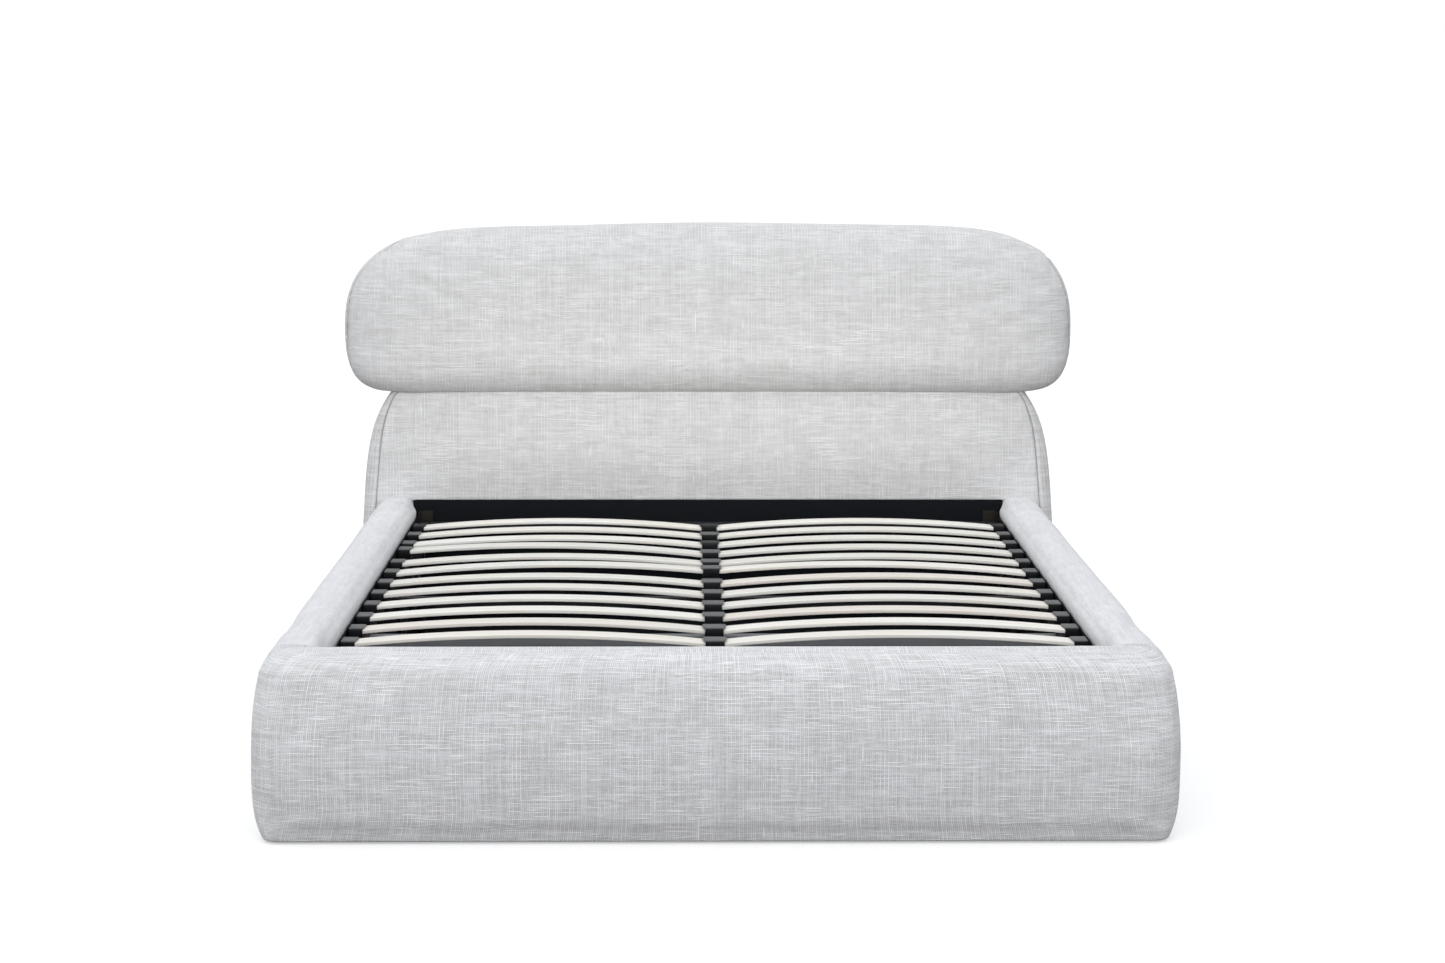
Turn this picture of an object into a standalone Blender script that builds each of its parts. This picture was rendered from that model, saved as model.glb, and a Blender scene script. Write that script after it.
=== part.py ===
"""Queen storage bed: padded box, roll headboard and a slatted frame that lifts on gas struts.

Metres, +Z up. +Y points to the headboard, +X to the right as seen from the foot.
The origin is on the floor, under the middle of the bed's overall box.
Lengths along the bed are first counted from the inner face of the footboard and then moved
by RECESS_FOOT, which puts the middle of the overall length at Y = 0.
"""

import math

import bmesh
import bpy
from mathutils import Matrix, Vector

# Driving dimensions
INNER_WIDTH = 1.55          # clear width between the side rails, for a mattress 1.53 wide
INNER_LENGTH = 2.05         # clear length between footboard and headboard
RAIL_TOP = 0.372            # top of rails and footboard over the floor
SLAT_PLANE = 0.330          # top of the slat holders over the floor
RAIL_THICK = 0.105          # a rail at its foot and at its top, without the swelling
FOOT_SIDE = 0.107           # the same at the footboard's ends
PAD_BULGE = 0.026           # how far a padded side swells at mid height
FOOT_THICK = 0.120
FOOT_BULGE = 0.030
LOW_RADIUS = 0.008          # rounding of padded pieces along the floor
PANEL_THICK = 0.120         # lower headboard, front to back
BOLSTER_WIDTH = 1.934
BOLSTER_BOTTOM = 0.650
BOLSTER_TOP = 1.103
BOLSTER_WIDEST = 0.820      # height at which the roll is widest
BOLSTER_DEPTH = 0.240

GAP = 0.0003                # left between pieces that touch
FLOOR_LIFT = 0.004          # padded pieces stay this far over the floor
BOARD = 0.018               # structural boards inside the padding
BOARD_TOP = 0.322           # boards of rails and footboard end under the padded top
HEAD_BOARD_TOP = 0.3615
HEAD_BOARD_HALF = 0.791     # it reaches behind the rails' ends

# Slatted frame
ROWS = 12
ROW_PITCH = 0.1415
FIRST_ROW = 1.833           # the row nearest the headboard, from the foot face
SLAT_WIDTH = 0.053
SLAT_THICK = 0.008
SLAT_CHAMFER = 0.0018
SLAT_CROWN = 0.020
SLAT_END_Z = 0.3185         # middle of a slat's thickness at its ends
SLAT_INNER_X = 0.010        # a slat's hidden ends, inside the holders
SLAT_OUTER_X = 0.763
LOW_LEFT_ROW = 4            # its outer holder on the left sits closer to the head
LOW_CENTRE_ROW = 6          # its centre holder sits closer to the head
HOLDER_SHIFT = 0.048        # by this much
HOLDER_LENGTH = 0.068
HOLDER_BOTTOM = 0.3083
SIDE_HOLDER_INNER = 0.738
SIDE_HOLDER_OUTER = 0.7705
CENTRE_HOLDER_HALF = 0.023
POCKET_DEPTH = 0.040        # room for a slat's end, from the end inwards
POCKET_GAP = 0.0006         # beside and under the slat in it
POCKET_HEADROOM = 0.005
STRIP_WIDTH = 0.014         # thin strip that joins the holders of a tube
STRIP_THICK = 0.0012
TUBE = 0.025
TUBE_EDGE = 0.003           # rounding along a tube
CENTRE_TUBE = 0.040
TUBE_BOTTOM = 0.278
TUBE_TOP = 0.308
TUBE_OUTER = 0.770
FRAME_FOOT = 0.018
FRAME_HEAD = 2.030
CROSS_TUBE_HEIGHT = 0.025

# Lift mechanism, in the plane of one side
PIVOT_FROM_FOOT = 1.750
PIVOT_Z = 0.262
ARM_REACH = 0.380           # main pivot to the strut's upper stud, towards the foot
ARM_RISE = 0.020
ANCHOR_REACH = 0.200        # main pivot to the strut's lower stud
ANCHOR_DROP = 0.200
PLATE = 0.004
PLATE_OUTER = INNER_WIDTH / 2 - GAP
ARM_OUTER = TUBE_OUTER - TUBE - 0.0005     # a hair off the side tube's inner face
STRUT_X = 0.7215
PIN_RADIUS = 0.006
STUD_RADIUS = 0.0045
STRUT_RADIUS = 0.011
ROD_RADIUS = 0.005
EYE_RADIUS = 0.011
EYE_THICK = 0.008
NECK_RADIUS = 0.006
COLLAR_RADIUS = 0.010
BOSS_RADIUS = 0.009
BOSS_GAP = 0.001            # from the boss of the lower stud to the rod's eye
STUD_PROUD = 0.002          # past the eye
CLEARANCE = 0.0003          # round a pin in its hole
SINK = 0.002                # how deep a pin starts inside its plate
CUT_PAST = 0.006            # how far a cutter reaches past what it cuts

# Storage floor
BATTEN = 0.030
FLOOR_PANEL = 0.006
FLOOR_END_GAP = 0.001

OVERALL_LENGTH = FOOT_THICK + FOOT_BULGE + INNER_LENGTH + PANEL_THICK / 2 + BOLSTER_DEPTH / 2
RECESS_FOOT = FOOT_THICK + FOOT_BULGE - OVERALL_LENGTH / 2
RECESS_HEAD = RECESS_FOOT + INNER_LENGTH
BOLSTER_Y = RECESS_HEAD + PANEL_THICK / 2
HALF_WIDTH = INNER_WIDTH / 2

for stale in list(bpy.data.objects):
    bpy.data.objects.remove(stale)

PARTS = bpy.data.collections.new("storage_bed")
CUTTERS = bpy.data.collections.new("cutters")
for group in (PARTS, CUTTERS):
    bpy.context.scene.collection.children.link(group)


def make_material(name, colour, roughness, metallic=0.0):
    material = bpy.data.materials.new(name)
    material.use_nodes = True
    shader = material.node_tree.nodes["Principled BSDF"]
    shader.inputs["Base Color"].default_value = (*colour, 1.0)
    shader.inputs["Roughness"].default_value = roughness
    shader.inputs["Metallic"].default_value = metallic
    material.diffuse_color = (*colour, 1.0)
    return material


FABRIC = make_material("light_grey_fabric", (0.60, 0.59, 0.57), 0.9)
LINING = make_material("black_lined_board", (0.012, 0.012, 0.013), 0.8)
STEEL = make_material("black_steel", (0.014, 0.014, 0.015), 0.45, 0.6)
GREY_STEEL = make_material("grey_steel", (0.10, 0.10, 0.11), 0.4, 0.7)
ZINC = make_material("zinc_steel", (0.30, 0.28, 0.20), 0.4, 0.9)
CHROME = make_material("chrome_rod", (0.75, 0.75, 0.76), 0.12, 1.0)
BEECH = make_material("pale_slat_wood", (0.72, 0.64, 0.52), 0.55)
PLASTIC = make_material("dark_grey_plastic", (0.055, 0.058, 0.06), 0.5)
WEBBING = make_material("black_webbing", (0.015, 0.015, 0.016), 0.85)


def add_object(name, mesh, material=None):
    """A part when it has a material, otherwise a cutter."""
    body = bpy.data.objects.new(name, mesh)
    if material:
        mesh.materials.clear()
        mesh.materials.append(material)
        PARTS.objects.link(body)
    else:
        CUTTERS.objects.link(body)
        body.hide_render = True
        body.display_type = "WIRE"
    return body


def mesh_from(bm, name):
    bm.normal_update()
    bmesh.ops.recalc_face_normals(bm, faces=bm.faces)
    mesh = bpy.data.meshes.new(name)
    bm.to_mesh(mesh)
    bm.free()
    return mesh


def smooth(body, angle=40):
    body.data.shade_smooth()
    body.data.set_sharp_from_angle(angle=math.radians(angle))


def box(name, low, high, material=None, bevel=0.0):
    low, high = Vector(low), Vector(high)
    bm = bmesh.new()
    bmesh.ops.create_cube(bm, size=1.0)
    bmesh.ops.scale(bm, vec=high - low, verts=bm.verts)
    body = add_object(name, mesh_from(bm, name), material)
    body.location = (low + high) / 2
    if bevel:
        rounding = body.modifiers.new("edges", "BEVEL")
        rounding.width = bevel
        rounding.segments = 2
        rounding.limit_method = "ANGLE"
    return body


def cylinder(name, start, end, radius, material=None, sides=24):
    start, end = Vector(start), Vector(end)
    axis = end - start
    bm = bmesh.new()
    bmesh.ops.create_cone(bm, cap_ends=True, segments=sides, radius1=radius, radius2=radius,
                          depth=axis.length)
    turn = axis.to_track_quat("Z", "Y").to_matrix().to_4x4()
    bmesh.ops.transform(bm, matrix=turn, verts=bm.verts)
    body = add_object(name, mesh_from(bm, name), material)
    body.location = (start + end) / 2
    smooth(body)
    return body


def side_plate(name, outline, x_low, x_high, material):
    """A flat plate in the YZ plane, cut to outline, from x_low to x_high."""
    curve = bpy.data.curves.new(name, "CURVE")
    curve.dimensions = "2D"
    curve.fill_mode = "BOTH"
    curve.extrude = (x_high - x_low) / 2
    spline = curve.splines.new("POLY")
    spline.points.add(len(outline) - 1)
    for point, (y, z) in zip(spline.points, outline):
        point.co = (y, z, 0.0, 1.0)
    spline.use_cyclic_u = True
    drawn = bpy.data.objects.new(name + "_outline", curve)
    CUTTERS.objects.link(drawn)
    # The curve's x, y and z become the plate's y, z and x.
    drawn.matrix_world = Matrix(((0, 0, 1, (x_low + x_high) / 2),
                                 (1, 0, 0, 0), (0, 1, 0, 0), (0, 0, 0, 1)))
    graph = bpy.context.evaluated_depsgraph_get()
    mesh = bpy.data.meshes.new_from_object(drawn.evaluated_get(graph))
    bm = bmesh.new()
    bm.from_mesh(mesh)
    bmesh.ops.remove_doubles(bm, verts=bm.verts, dist=0.00001)
    bm.to_mesh(mesh)
    bm.free()
    body = add_object(name, mesh, material)
    body.matrix_world = drawn.matrix_world
    bpy.data.objects.remove(drawn)
    return body


def loft(name, rings, material=None):
    """A closed skin through rings of equally many points, each ring closed, ends capped."""
    bm = bmesh.new()
    loops = [[bm.verts.new(point) for point in ring] for ring in rings]
    count = len(loops[0])
    for lower, upper in zip(loops, loops[1:]):
        for i in range(count):
            j = (i + 1) % count
            bm.faces.new((lower[i], lower[j], upper[j], upper[i]))
    bm.faces.new(loops[0][::-1])
    bm.faces.new(loops[-1])
    return add_object(name, mesh_from(bm, name), material)


def combine(body, other, operation):
    change = body.modifiers.new(operation.lower(), "BOOLEAN")
    change.operation = operation
    change.object = other


def cut(body, *cutters):
    for cutter in cutters:
        combine(body, cutter, "DIFFERENCE")


def join(body, *others):
    for other in others:
        combine(body, other, "UNION")


def pad_swell(z, low_power=5.5):
    """0 at the floor and at the rail's top, 1 at mid height, and fuller below."""
    middle = RAIL_TOP / 2
    return max(0.0, 1.0 - abs(z / middle - 1) ** (low_power if z < middle else 2.0))


def edge_inset(z, bottom, top, low_radius, high_radius):
    """How far a side draws in where its bottom and top edges are rounded."""
    over = max(0.0, z - (top - high_radius))
    under = max(0.0, bottom + low_radius - z)
    return (high_radius - math.sqrt(max(0.0, high_radius ** 2 - over ** 2))
            + low_radius - math.sqrt(max(0.0, low_radius ** 2 - under ** 2)))


def plan_ring(x_low, x_high, y_low, y_high, radii, z, steps=4):
    """A rounded rectangle at height z; radii go anticlockwise from the (x_low, y_low) corner."""
    ring = []
    corners = ((x_low, y_low, 1, 1, 180), (x_high, y_low, -1, 1, 270),
               (x_high, y_high, -1, -1, 0), (x_low, y_high, 1, -1, 90))
    for (x, y, inward_x, inward_y, start), radius in zip(corners, radii):
        for step in range(steps + 1):
            angle = math.radians(start + 90 * step / steps)
            ring.append((x + inward_x * radius + radius * math.cos(angle),
                         y + inward_y * radius + radius * math.sin(angle), z))
    return ring


def pad_heights(bottom, top, low_radius, high_radius, body_steps=6):
    """Ring heights, closer together where the edges are rounded."""
    low = [bottom + low_radius * (1 - math.cos(math.radians(a))) for a in (0, 30, 60)]
    high = [top - high_radius * (1 - math.sin(math.radians(a))) for a in (22, 45, 67, 90)]
    first, last = bottom + low_radius, top - high_radius
    middle = [first + (last - first) * i / body_steps for i in range(body_steps + 1)]
    return low + middle + high


def make_side_rail(side, name):
    """Padded rail: swollen outer face, half-round head end, square end on the footboard."""
    high_radius, inner_radius, head_radius, square = 0.034, 0.036, 0.030, 0.002
    rings = []
    for z in pad_heights(FLOOR_LIFT, RAIL_TOP, LOW_RADIUS, high_radius):
        outer = HALF_WIDTH + RAIL_THICK + PAD_BULGE * pad_swell(z)
        outer -= edge_inset(z, FLOOR_LIFT, RAIL_TOP, LOW_RADIUS, high_radius)
        inner = HALF_WIDTH + edge_inset(z, FLOOR_LIFT, RAIL_TOP, square, inner_radius)
        head = RECESS_HEAD - GAP - edge_inset(z, FLOOR_LIFT, RAIL_TOP, square, head_radius)
        end_radius = min(0.034, (outer - inner) * 0.48)
        ring = plan_ring(inner, outer, RECESS_FOOT + GAP, head,
                         (square, square, end_radius, end_radius), z)
        rings.append([(side * x, y, height) for x, y, height in ring])
    body = loft(name, rings, FABRIC)
    low_x, high_x = sorted((side * (HALF_WIDTH - CUT_PAST), side * (HALF_WIDTH + BOARD)))
    cutter = box(name + "_board_room", (low_x, RECESS_FOOT - CUT_PAST, -CUT_PAST),
                 (high_x, RECESS_HEAD + CUT_PAST, BOARD_TOP))
    cut(body, cutter)
    smooth(body)


def make_footboard():
    """Padded footboard across the full width, swollen to the front and to both sides."""
    end_radius, front_radius, back_radius = 0.040, 0.032, 0.014
    front_corner, square = 0.070, 0.002
    rings = []
    for z in pad_heights(FLOOR_LIFT, RAIL_TOP, LOW_RADIUS, end_radius):
        half = (HALF_WIDTH + FOOT_SIDE + PAD_BULGE * pad_swell(z)
                - edge_inset(z, FLOOR_LIFT, RAIL_TOP, LOW_RADIUS, end_radius))
        front = (RECESS_FOOT - FOOT_THICK - FOOT_BULGE * pad_swell(z, 2.3)
                 + edge_inset(z, FLOOR_LIFT, RAIL_TOP, LOW_RADIUS, front_radius))
        back = RECESS_FOOT - edge_inset(z, FLOOR_LIFT, RAIL_TOP, square, back_radius)
        rings.append(plan_ring(-half, half, front, back,
                               (front_corner, front_corner, square, square), z, 6))
    body = loft("footboard", rings, FABRIC)
    half = HALF_WIDTH + GAP
    cutter = box("footboard_board_room", (-half, RECESS_FOOT - BOARD, -CUT_PAST),
                 (half, RECESS_FOOT + CUT_PAST, BOARD_TOP))
    cut(body, cutter)
    smooth(body)


def panel_half_width(z):
    """Lower headboard: almost upright sides that curve in towards the roll."""
    widest, shoulder, top = 0.930, 0.300, 0.680
    slant, curl = 0.026, 0.069
    rise = max(0.0, (z - shoulder) / (top - shoulder))
    return widest - slant * rise - curl * rise ** 4


def bolster_mesh(name, grow=0.0, around=36, along=30):
    """The roll: a round cushion, flatter under than above, with full rounded ends."""
    half_width = BOLSTER_WIDTH / 2 + grow
    half_depth = BOLSTER_DEPTH / 2 + grow
    above = BOLSTER_TOP - BOLSTER_WIDEST + grow
    below = BOLSTER_WIDEST - BOLSTER_BOTTOM + grow
    # Powers of rounded boxes, low on the roll and high on it: its front outline towards the
    # ends, the same towards the top or underside, and its section.
    low_end, high_end, low_crown, high_crown = 25.0, 6.7, 2.1, 2.4
    bm = bmesh.new()
    bmesh.ops.create_uvsphere(bm, u_segments=around, v_segments=along, radius=1.0)
    for vert in bm.verts:
        across, y, z = vert.co.z, vert.co.y, vert.co.x
        ring = math.hypot(y, z)
        sine = z / ring if ring > 0.000001 else 0.0
        cosine = y / ring if ring > 0.000001 else 0.0
        lift = (1 + sine) / 2
        end_power = low_end + (high_end - low_end) * lift ** 0.7
        crown_power = low_crown + (high_crown - low_crown) * lift
        height, section = (above, 2.6) if z > 0 else (below, 4.0)
        # Latitudes are spread evenly, so that the full ends keep enough faces.
        vert.co.x = math.copysign(half_width * abs(across) ** (2 / end_power), across)
        vert.co.y = math.copysign(half_depth * ring ** (2 / crown_power)
                                  * abs(cosine) ** (2 / section), cosine)
        vert.co.z = math.copysign(height * ring ** (2 / crown_power)
                                  * abs(sine) ** (2 / section), sine)
    mesh = mesh_from(bm, name)
    mesh.transform(Matrix.Translation((0.0, BOLSTER_Y, BOLSTER_WIDEST)))
    return mesh


def make_headboard():
    """Lower panel with a seat for the roll, and the roll itself."""
    front_corner, back_corner = 0.036, 0.020
    inside_roll, seat_gap = 0.740, 0.001
    first, steps = FLOOR_LIFT + LOW_RADIUS, 14
    rings = []
    for z in [FLOOR_LIFT, FLOOR_LIFT + LOW_RADIUS / 2] + [
            first + (inside_roll - first) * i / steps for i in range(steps + 1)]:
        inset = LOW_RADIUS - math.sqrt(LOW_RADIUS ** 2 - max(0.0, first - z) ** 2)
        half = panel_half_width(z) - inset
        rings.append(plan_ring(-half, half, RECESS_HEAD + inset,
                               RECESS_HEAD + PANEL_THICK - inset,
                               (front_corner, front_corner, back_corner, back_corner), z, 5))
    panel = loft("headboard_panel", rings, FABRIC)
    seat = add_object("bolster_seat", bolster_mesh("bolster_seat", seat_gap))
    half = HEAD_BOARD_HALF + GAP
    board_room = box("head_board_room", (-half, RECESS_HEAD - CUT_PAST, -CUT_PAST),
                     (half, RECESS_HEAD + BOARD + GAP, HEAD_BOARD_TOP + GAP))
    cut(panel, seat, board_room)
    smooth(panel)
    bolster = add_object("headboard_bolster", bolster_mesh("headboard_bolster"), FABRIC)
    bolster.data.shade_smooth()


def make_inner_boards():
    """Black-lined boards inside the padding, which carry the lift mechanism."""
    for side, name in ((-1, "rail_board_left"), (1, "rail_board_right")):
        low_x, high_x = sorted((side * HALF_WIDTH, side * (HALF_WIDTH + BOARD - GAP)))
        box(name, (low_x, RECESS_FOOT + GAP, FLOOR_LIFT),
            (high_x, RECESS_HEAD - GAP, BOARD_TOP - GAP), LINING)
    box("foot_board", (-HALF_WIDTH, RECESS_FOOT - BOARD + GAP, FLOOR_LIFT),
        (HALF_WIDTH, RECESS_FOOT, BOARD_TOP - GAP), LINING)
    box("head_board", (-HEAD_BOARD_HALF, RECESS_HEAD + GAP, FLOOR_LIFT),
        (HEAD_BOARD_HALF, RECESS_HEAD + BOARD, HEAD_BOARD_TOP), LINING)


def make_storage_floor():
    """Battens and a middle beam stand on the floor and carry two thin panels."""
    foot, head = RECESS_FOOT + FLOOR_END_GAP, RECESS_HEAD - FLOOR_END_GAP
    for side, name in ((-1, "left"), (1, "right")):
        outer = HALF_WIDTH - GAP
        low_x, high_x = sorted((side * outer, side * (outer - BATTEN)))
        box("base_batten_" + name, (low_x, foot, 0.0), (high_x, head, BATTEN - GAP), LINING)
        low_x, high_x = sorted((side * GAP, side * outer))
        box("floor_panel_" + name, (low_x, foot, BATTEN),
            (high_x, head, BATTEN + FLOOR_PANEL), LINING)
    box("floor_beam", (-BATTEN, foot, 0.0), (BATTEN, head, BATTEN - GAP), LINING)


def row_y(row):
    return RECESS_FOOT + FIRST_ROW - (row - 1) * ROW_PITCH


def slat_ends(side, row):
    """Where a slat's middle line starts at the centre tube and ends at the side tube."""
    inner_y = row_y(row) + (HOLDER_SHIFT if row == LOW_CENTRE_ROW else 0.0)
    outer_y = row_y(row) + (HOLDER_SHIFT if side < 0 and row == LOW_LEFT_ROW else 0.0)
    return Vector((side * SLAT_INNER_X, inner_y, 0)), Vector((side * SLAT_OUTER_X, outer_y, 0))


def slat_section(half_width, half_thick, chamfer):
    """Eight points of a board's section, as (across, up)."""
    w, t, c = half_width, half_thick, chamfer
    return ((-w, -t + c), (-w + c, -t), (w - c, -t), (w, -t + c),
            (w, t - c), (w - c, t), (-w + c, t), (-w, t - c))


def make_slat(side, row, name):
    start, end = slat_ends(side, row)
    run = (end - start).normalized()
    across = Vector((-run.y, run.x, 0)) * side
    section = slat_section(SLAT_WIDTH / 2, SLAT_THICK / 2, SLAT_CHAMFER)
    steps = 9
    rings = []
    for step in range(steps + 1):
        part = step / steps
        rise = SLAT_CROWN * (1 - (2 * part - 1) ** 2)
        middle = start.lerp(end, part) + Vector((0, 0, SLAT_END_Z + rise))
        rings.append([middle + across * a + Vector((0, 0, up)) for a, up in section])
    smooth(loft(name, rings, BEECH), 30)


def pocket_cutter(side, row, at_centre):
    """The room that one slat end takes in its holder, as box corners along the slat."""
    start, end = slat_ends(side, row)
    run = (end - start).normalized()
    across = Vector((-run.y, run.x, 0)) * side
    length = (end - start).length
    low, high = -POCKET_GAP, POCKET_DEPTH
    if not at_centre:
        low, high = length - POCKET_DEPTH, length + POCKET_GAP
    room = SLAT_WIDTH / 2 + POCKET_GAP
    bottom = SLAT_END_Z - SLAT_THICK / 2 - POCKET_GAP
    top = SLAT_END_Z + SLAT_THICK / 2 + POCKET_HEADROOM
    rings = []
    for along in (low, high):
        middle = start + run * along
        rings.append([middle + across * a + Vector((0, 0, z))
                      for a, z in ((-room, bottom), (room, bottom), (room, top), (-room, top))])
    return rings


def merged_boxes(name, blocks):
    """Several separate boxes in one mesh, to cut or join them in one go."""
    bm = bmesh.new()
    for rings in blocks:
        loops = [[bm.verts.new(point) for point in ring] for ring in rings]
        for i in range(4):
            j = (i + 1) % 4
            bm.faces.new((loops[0][i], loops[0][j], loops[1][j], loops[1][i]))
        bm.faces.new(loops[0][::-1])
        bm.faces.new(loops[1])
    return add_object(name, mesh_from(bm, name))


def holder_block(x_low, x_high, y_middle):
    half = HOLDER_LENGTH / 2
    top = SLAT_PLANE
    return [[(x, y_middle - half, HOLDER_BOTTOM), (x, y_middle + half, HOLDER_BOTTOM),
             (x, y_middle + half, top), (x, y_middle - half, top)] for x in (x_low, x_high)]


def make_holders():
    """Twelve slat holders on each tube, joined by the thin strip that they clip along."""
    strips = (("holders_left", -SIDE_HOLDER_OUTER, -SIDE_HOLDER_INNER, (-1,), False),
              ("holders_centre", -CENTRE_HOLDER_HALF, CENTRE_HOLDER_HALF, (-1, 1), True),
              ("holders_right", SIDE_HOLDER_INNER, SIDE_HOLDER_OUTER, (1,), False))
    for name, x_low, x_high, sides, at_centre in strips:
        blocks, pockets = [], []
        for row in range(1, ROWS + 1):
            start, end = slat_ends(sides[0], row)
            blocks.append(holder_block(x_low, x_high, start.y if at_centre else end.y))
            pockets += [pocket_cutter(side, row, at_centre) for side in sides]
        low_x = (x_low + x_high - STRIP_WIDTH) / 2
        strip = box(name, (low_x, row_y(ROWS), HOLDER_BOTTOM),
                    (low_x + STRIP_WIDTH, row_y(1), HOLDER_BOTTOM + STRIP_THICK), PLASTIC)
        join(strip, merged_boxes(name + "_blocks", blocks))
        cut(strip, merged_boxes(name + "_pockets", pockets))


def make_frame_tubes():
    """Welded tube frame: two sides, a middle, two ends and two cross tubes under them."""
    foot, head = RECESS_FOOT + FRAME_FOOT, RECESS_FOOT + FRAME_HEAD
    inner = TUBE_OUTER - TUBE
    for side, name in ((-1, "frame_tube_left"), (1, "frame_tube_right")):
        low_x, high_x = sorted((side * inner, side * TUBE_OUTER))
        box(name, (low_x, foot, TUBE_BOTTOM), (high_x, head, TUBE_TOP), STEEL, TUBE_EDGE)
    for name, low_y in (("frame_tube_foot", foot), ("frame_tube_head", head - TUBE)):
        box(name, (-inner + GAP, low_y, TUBE_BOTTOM), (inner - GAP, low_y + TUBE, TUBE_TOP),
            STEEL, TUBE_EDGE)
    box("frame_tube_centre", (-CENTRE_TUBE / 2, foot + TUBE + GAP, TUBE_BOTTOM),
        (CENTRE_TUBE / 2, head - TUBE - GAP, TUBE_TOP), STEEL, TUBE_EDGE)
    from_edge = 0.002
    reach = TUBE_OUTER - from_edge
    for name, row, material in (("frame_cross_foot", 9.8, GREY_STEEL),
                                ("frame_cross_middle", 6.5, STEEL)):
        y = row_y(row)
        box(name, (-reach, y - TUBE / 2, TUBE_BOTTOM - GAP - CROSS_TUBE_HEIGHT),
            (reach, y + TUBE / 2, TUBE_BOTTOM - GAP), material, TUBE_EDGE)


def rounded_outline(corners, steps=5):
    """An outline through rounded corners, each given as (y, z, radius), anticlockwise."""
    points = []
    count = len(corners)
    for i, (y, z, radius) in enumerate(corners):
        here = Vector((y, z))
        before = (Vector(corners[i - 1][:2]) - here).normalized()
        after = (Vector(corners[(i + 1) % count][:2]) - here).normalized()
        opening = before.angle(after)
        middle = here + (before + after).normalized() * radius / math.sin(opening / 2)
        reach = radius / math.tan(opening / 2)
        start, end = here + before * reach - middle, here + after * reach - middle
        first = math.atan2(start.y, start.x)
        sweep = math.remainder(math.atan2(end.y, end.x) - first, 2 * math.pi)
        for step in range(steps + 1):
            angle = first + sweep * step / steps
            points.append((middle.x + radius * math.cos(angle),
                           middle.y + radius * math.sin(angle)))
    return points


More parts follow.
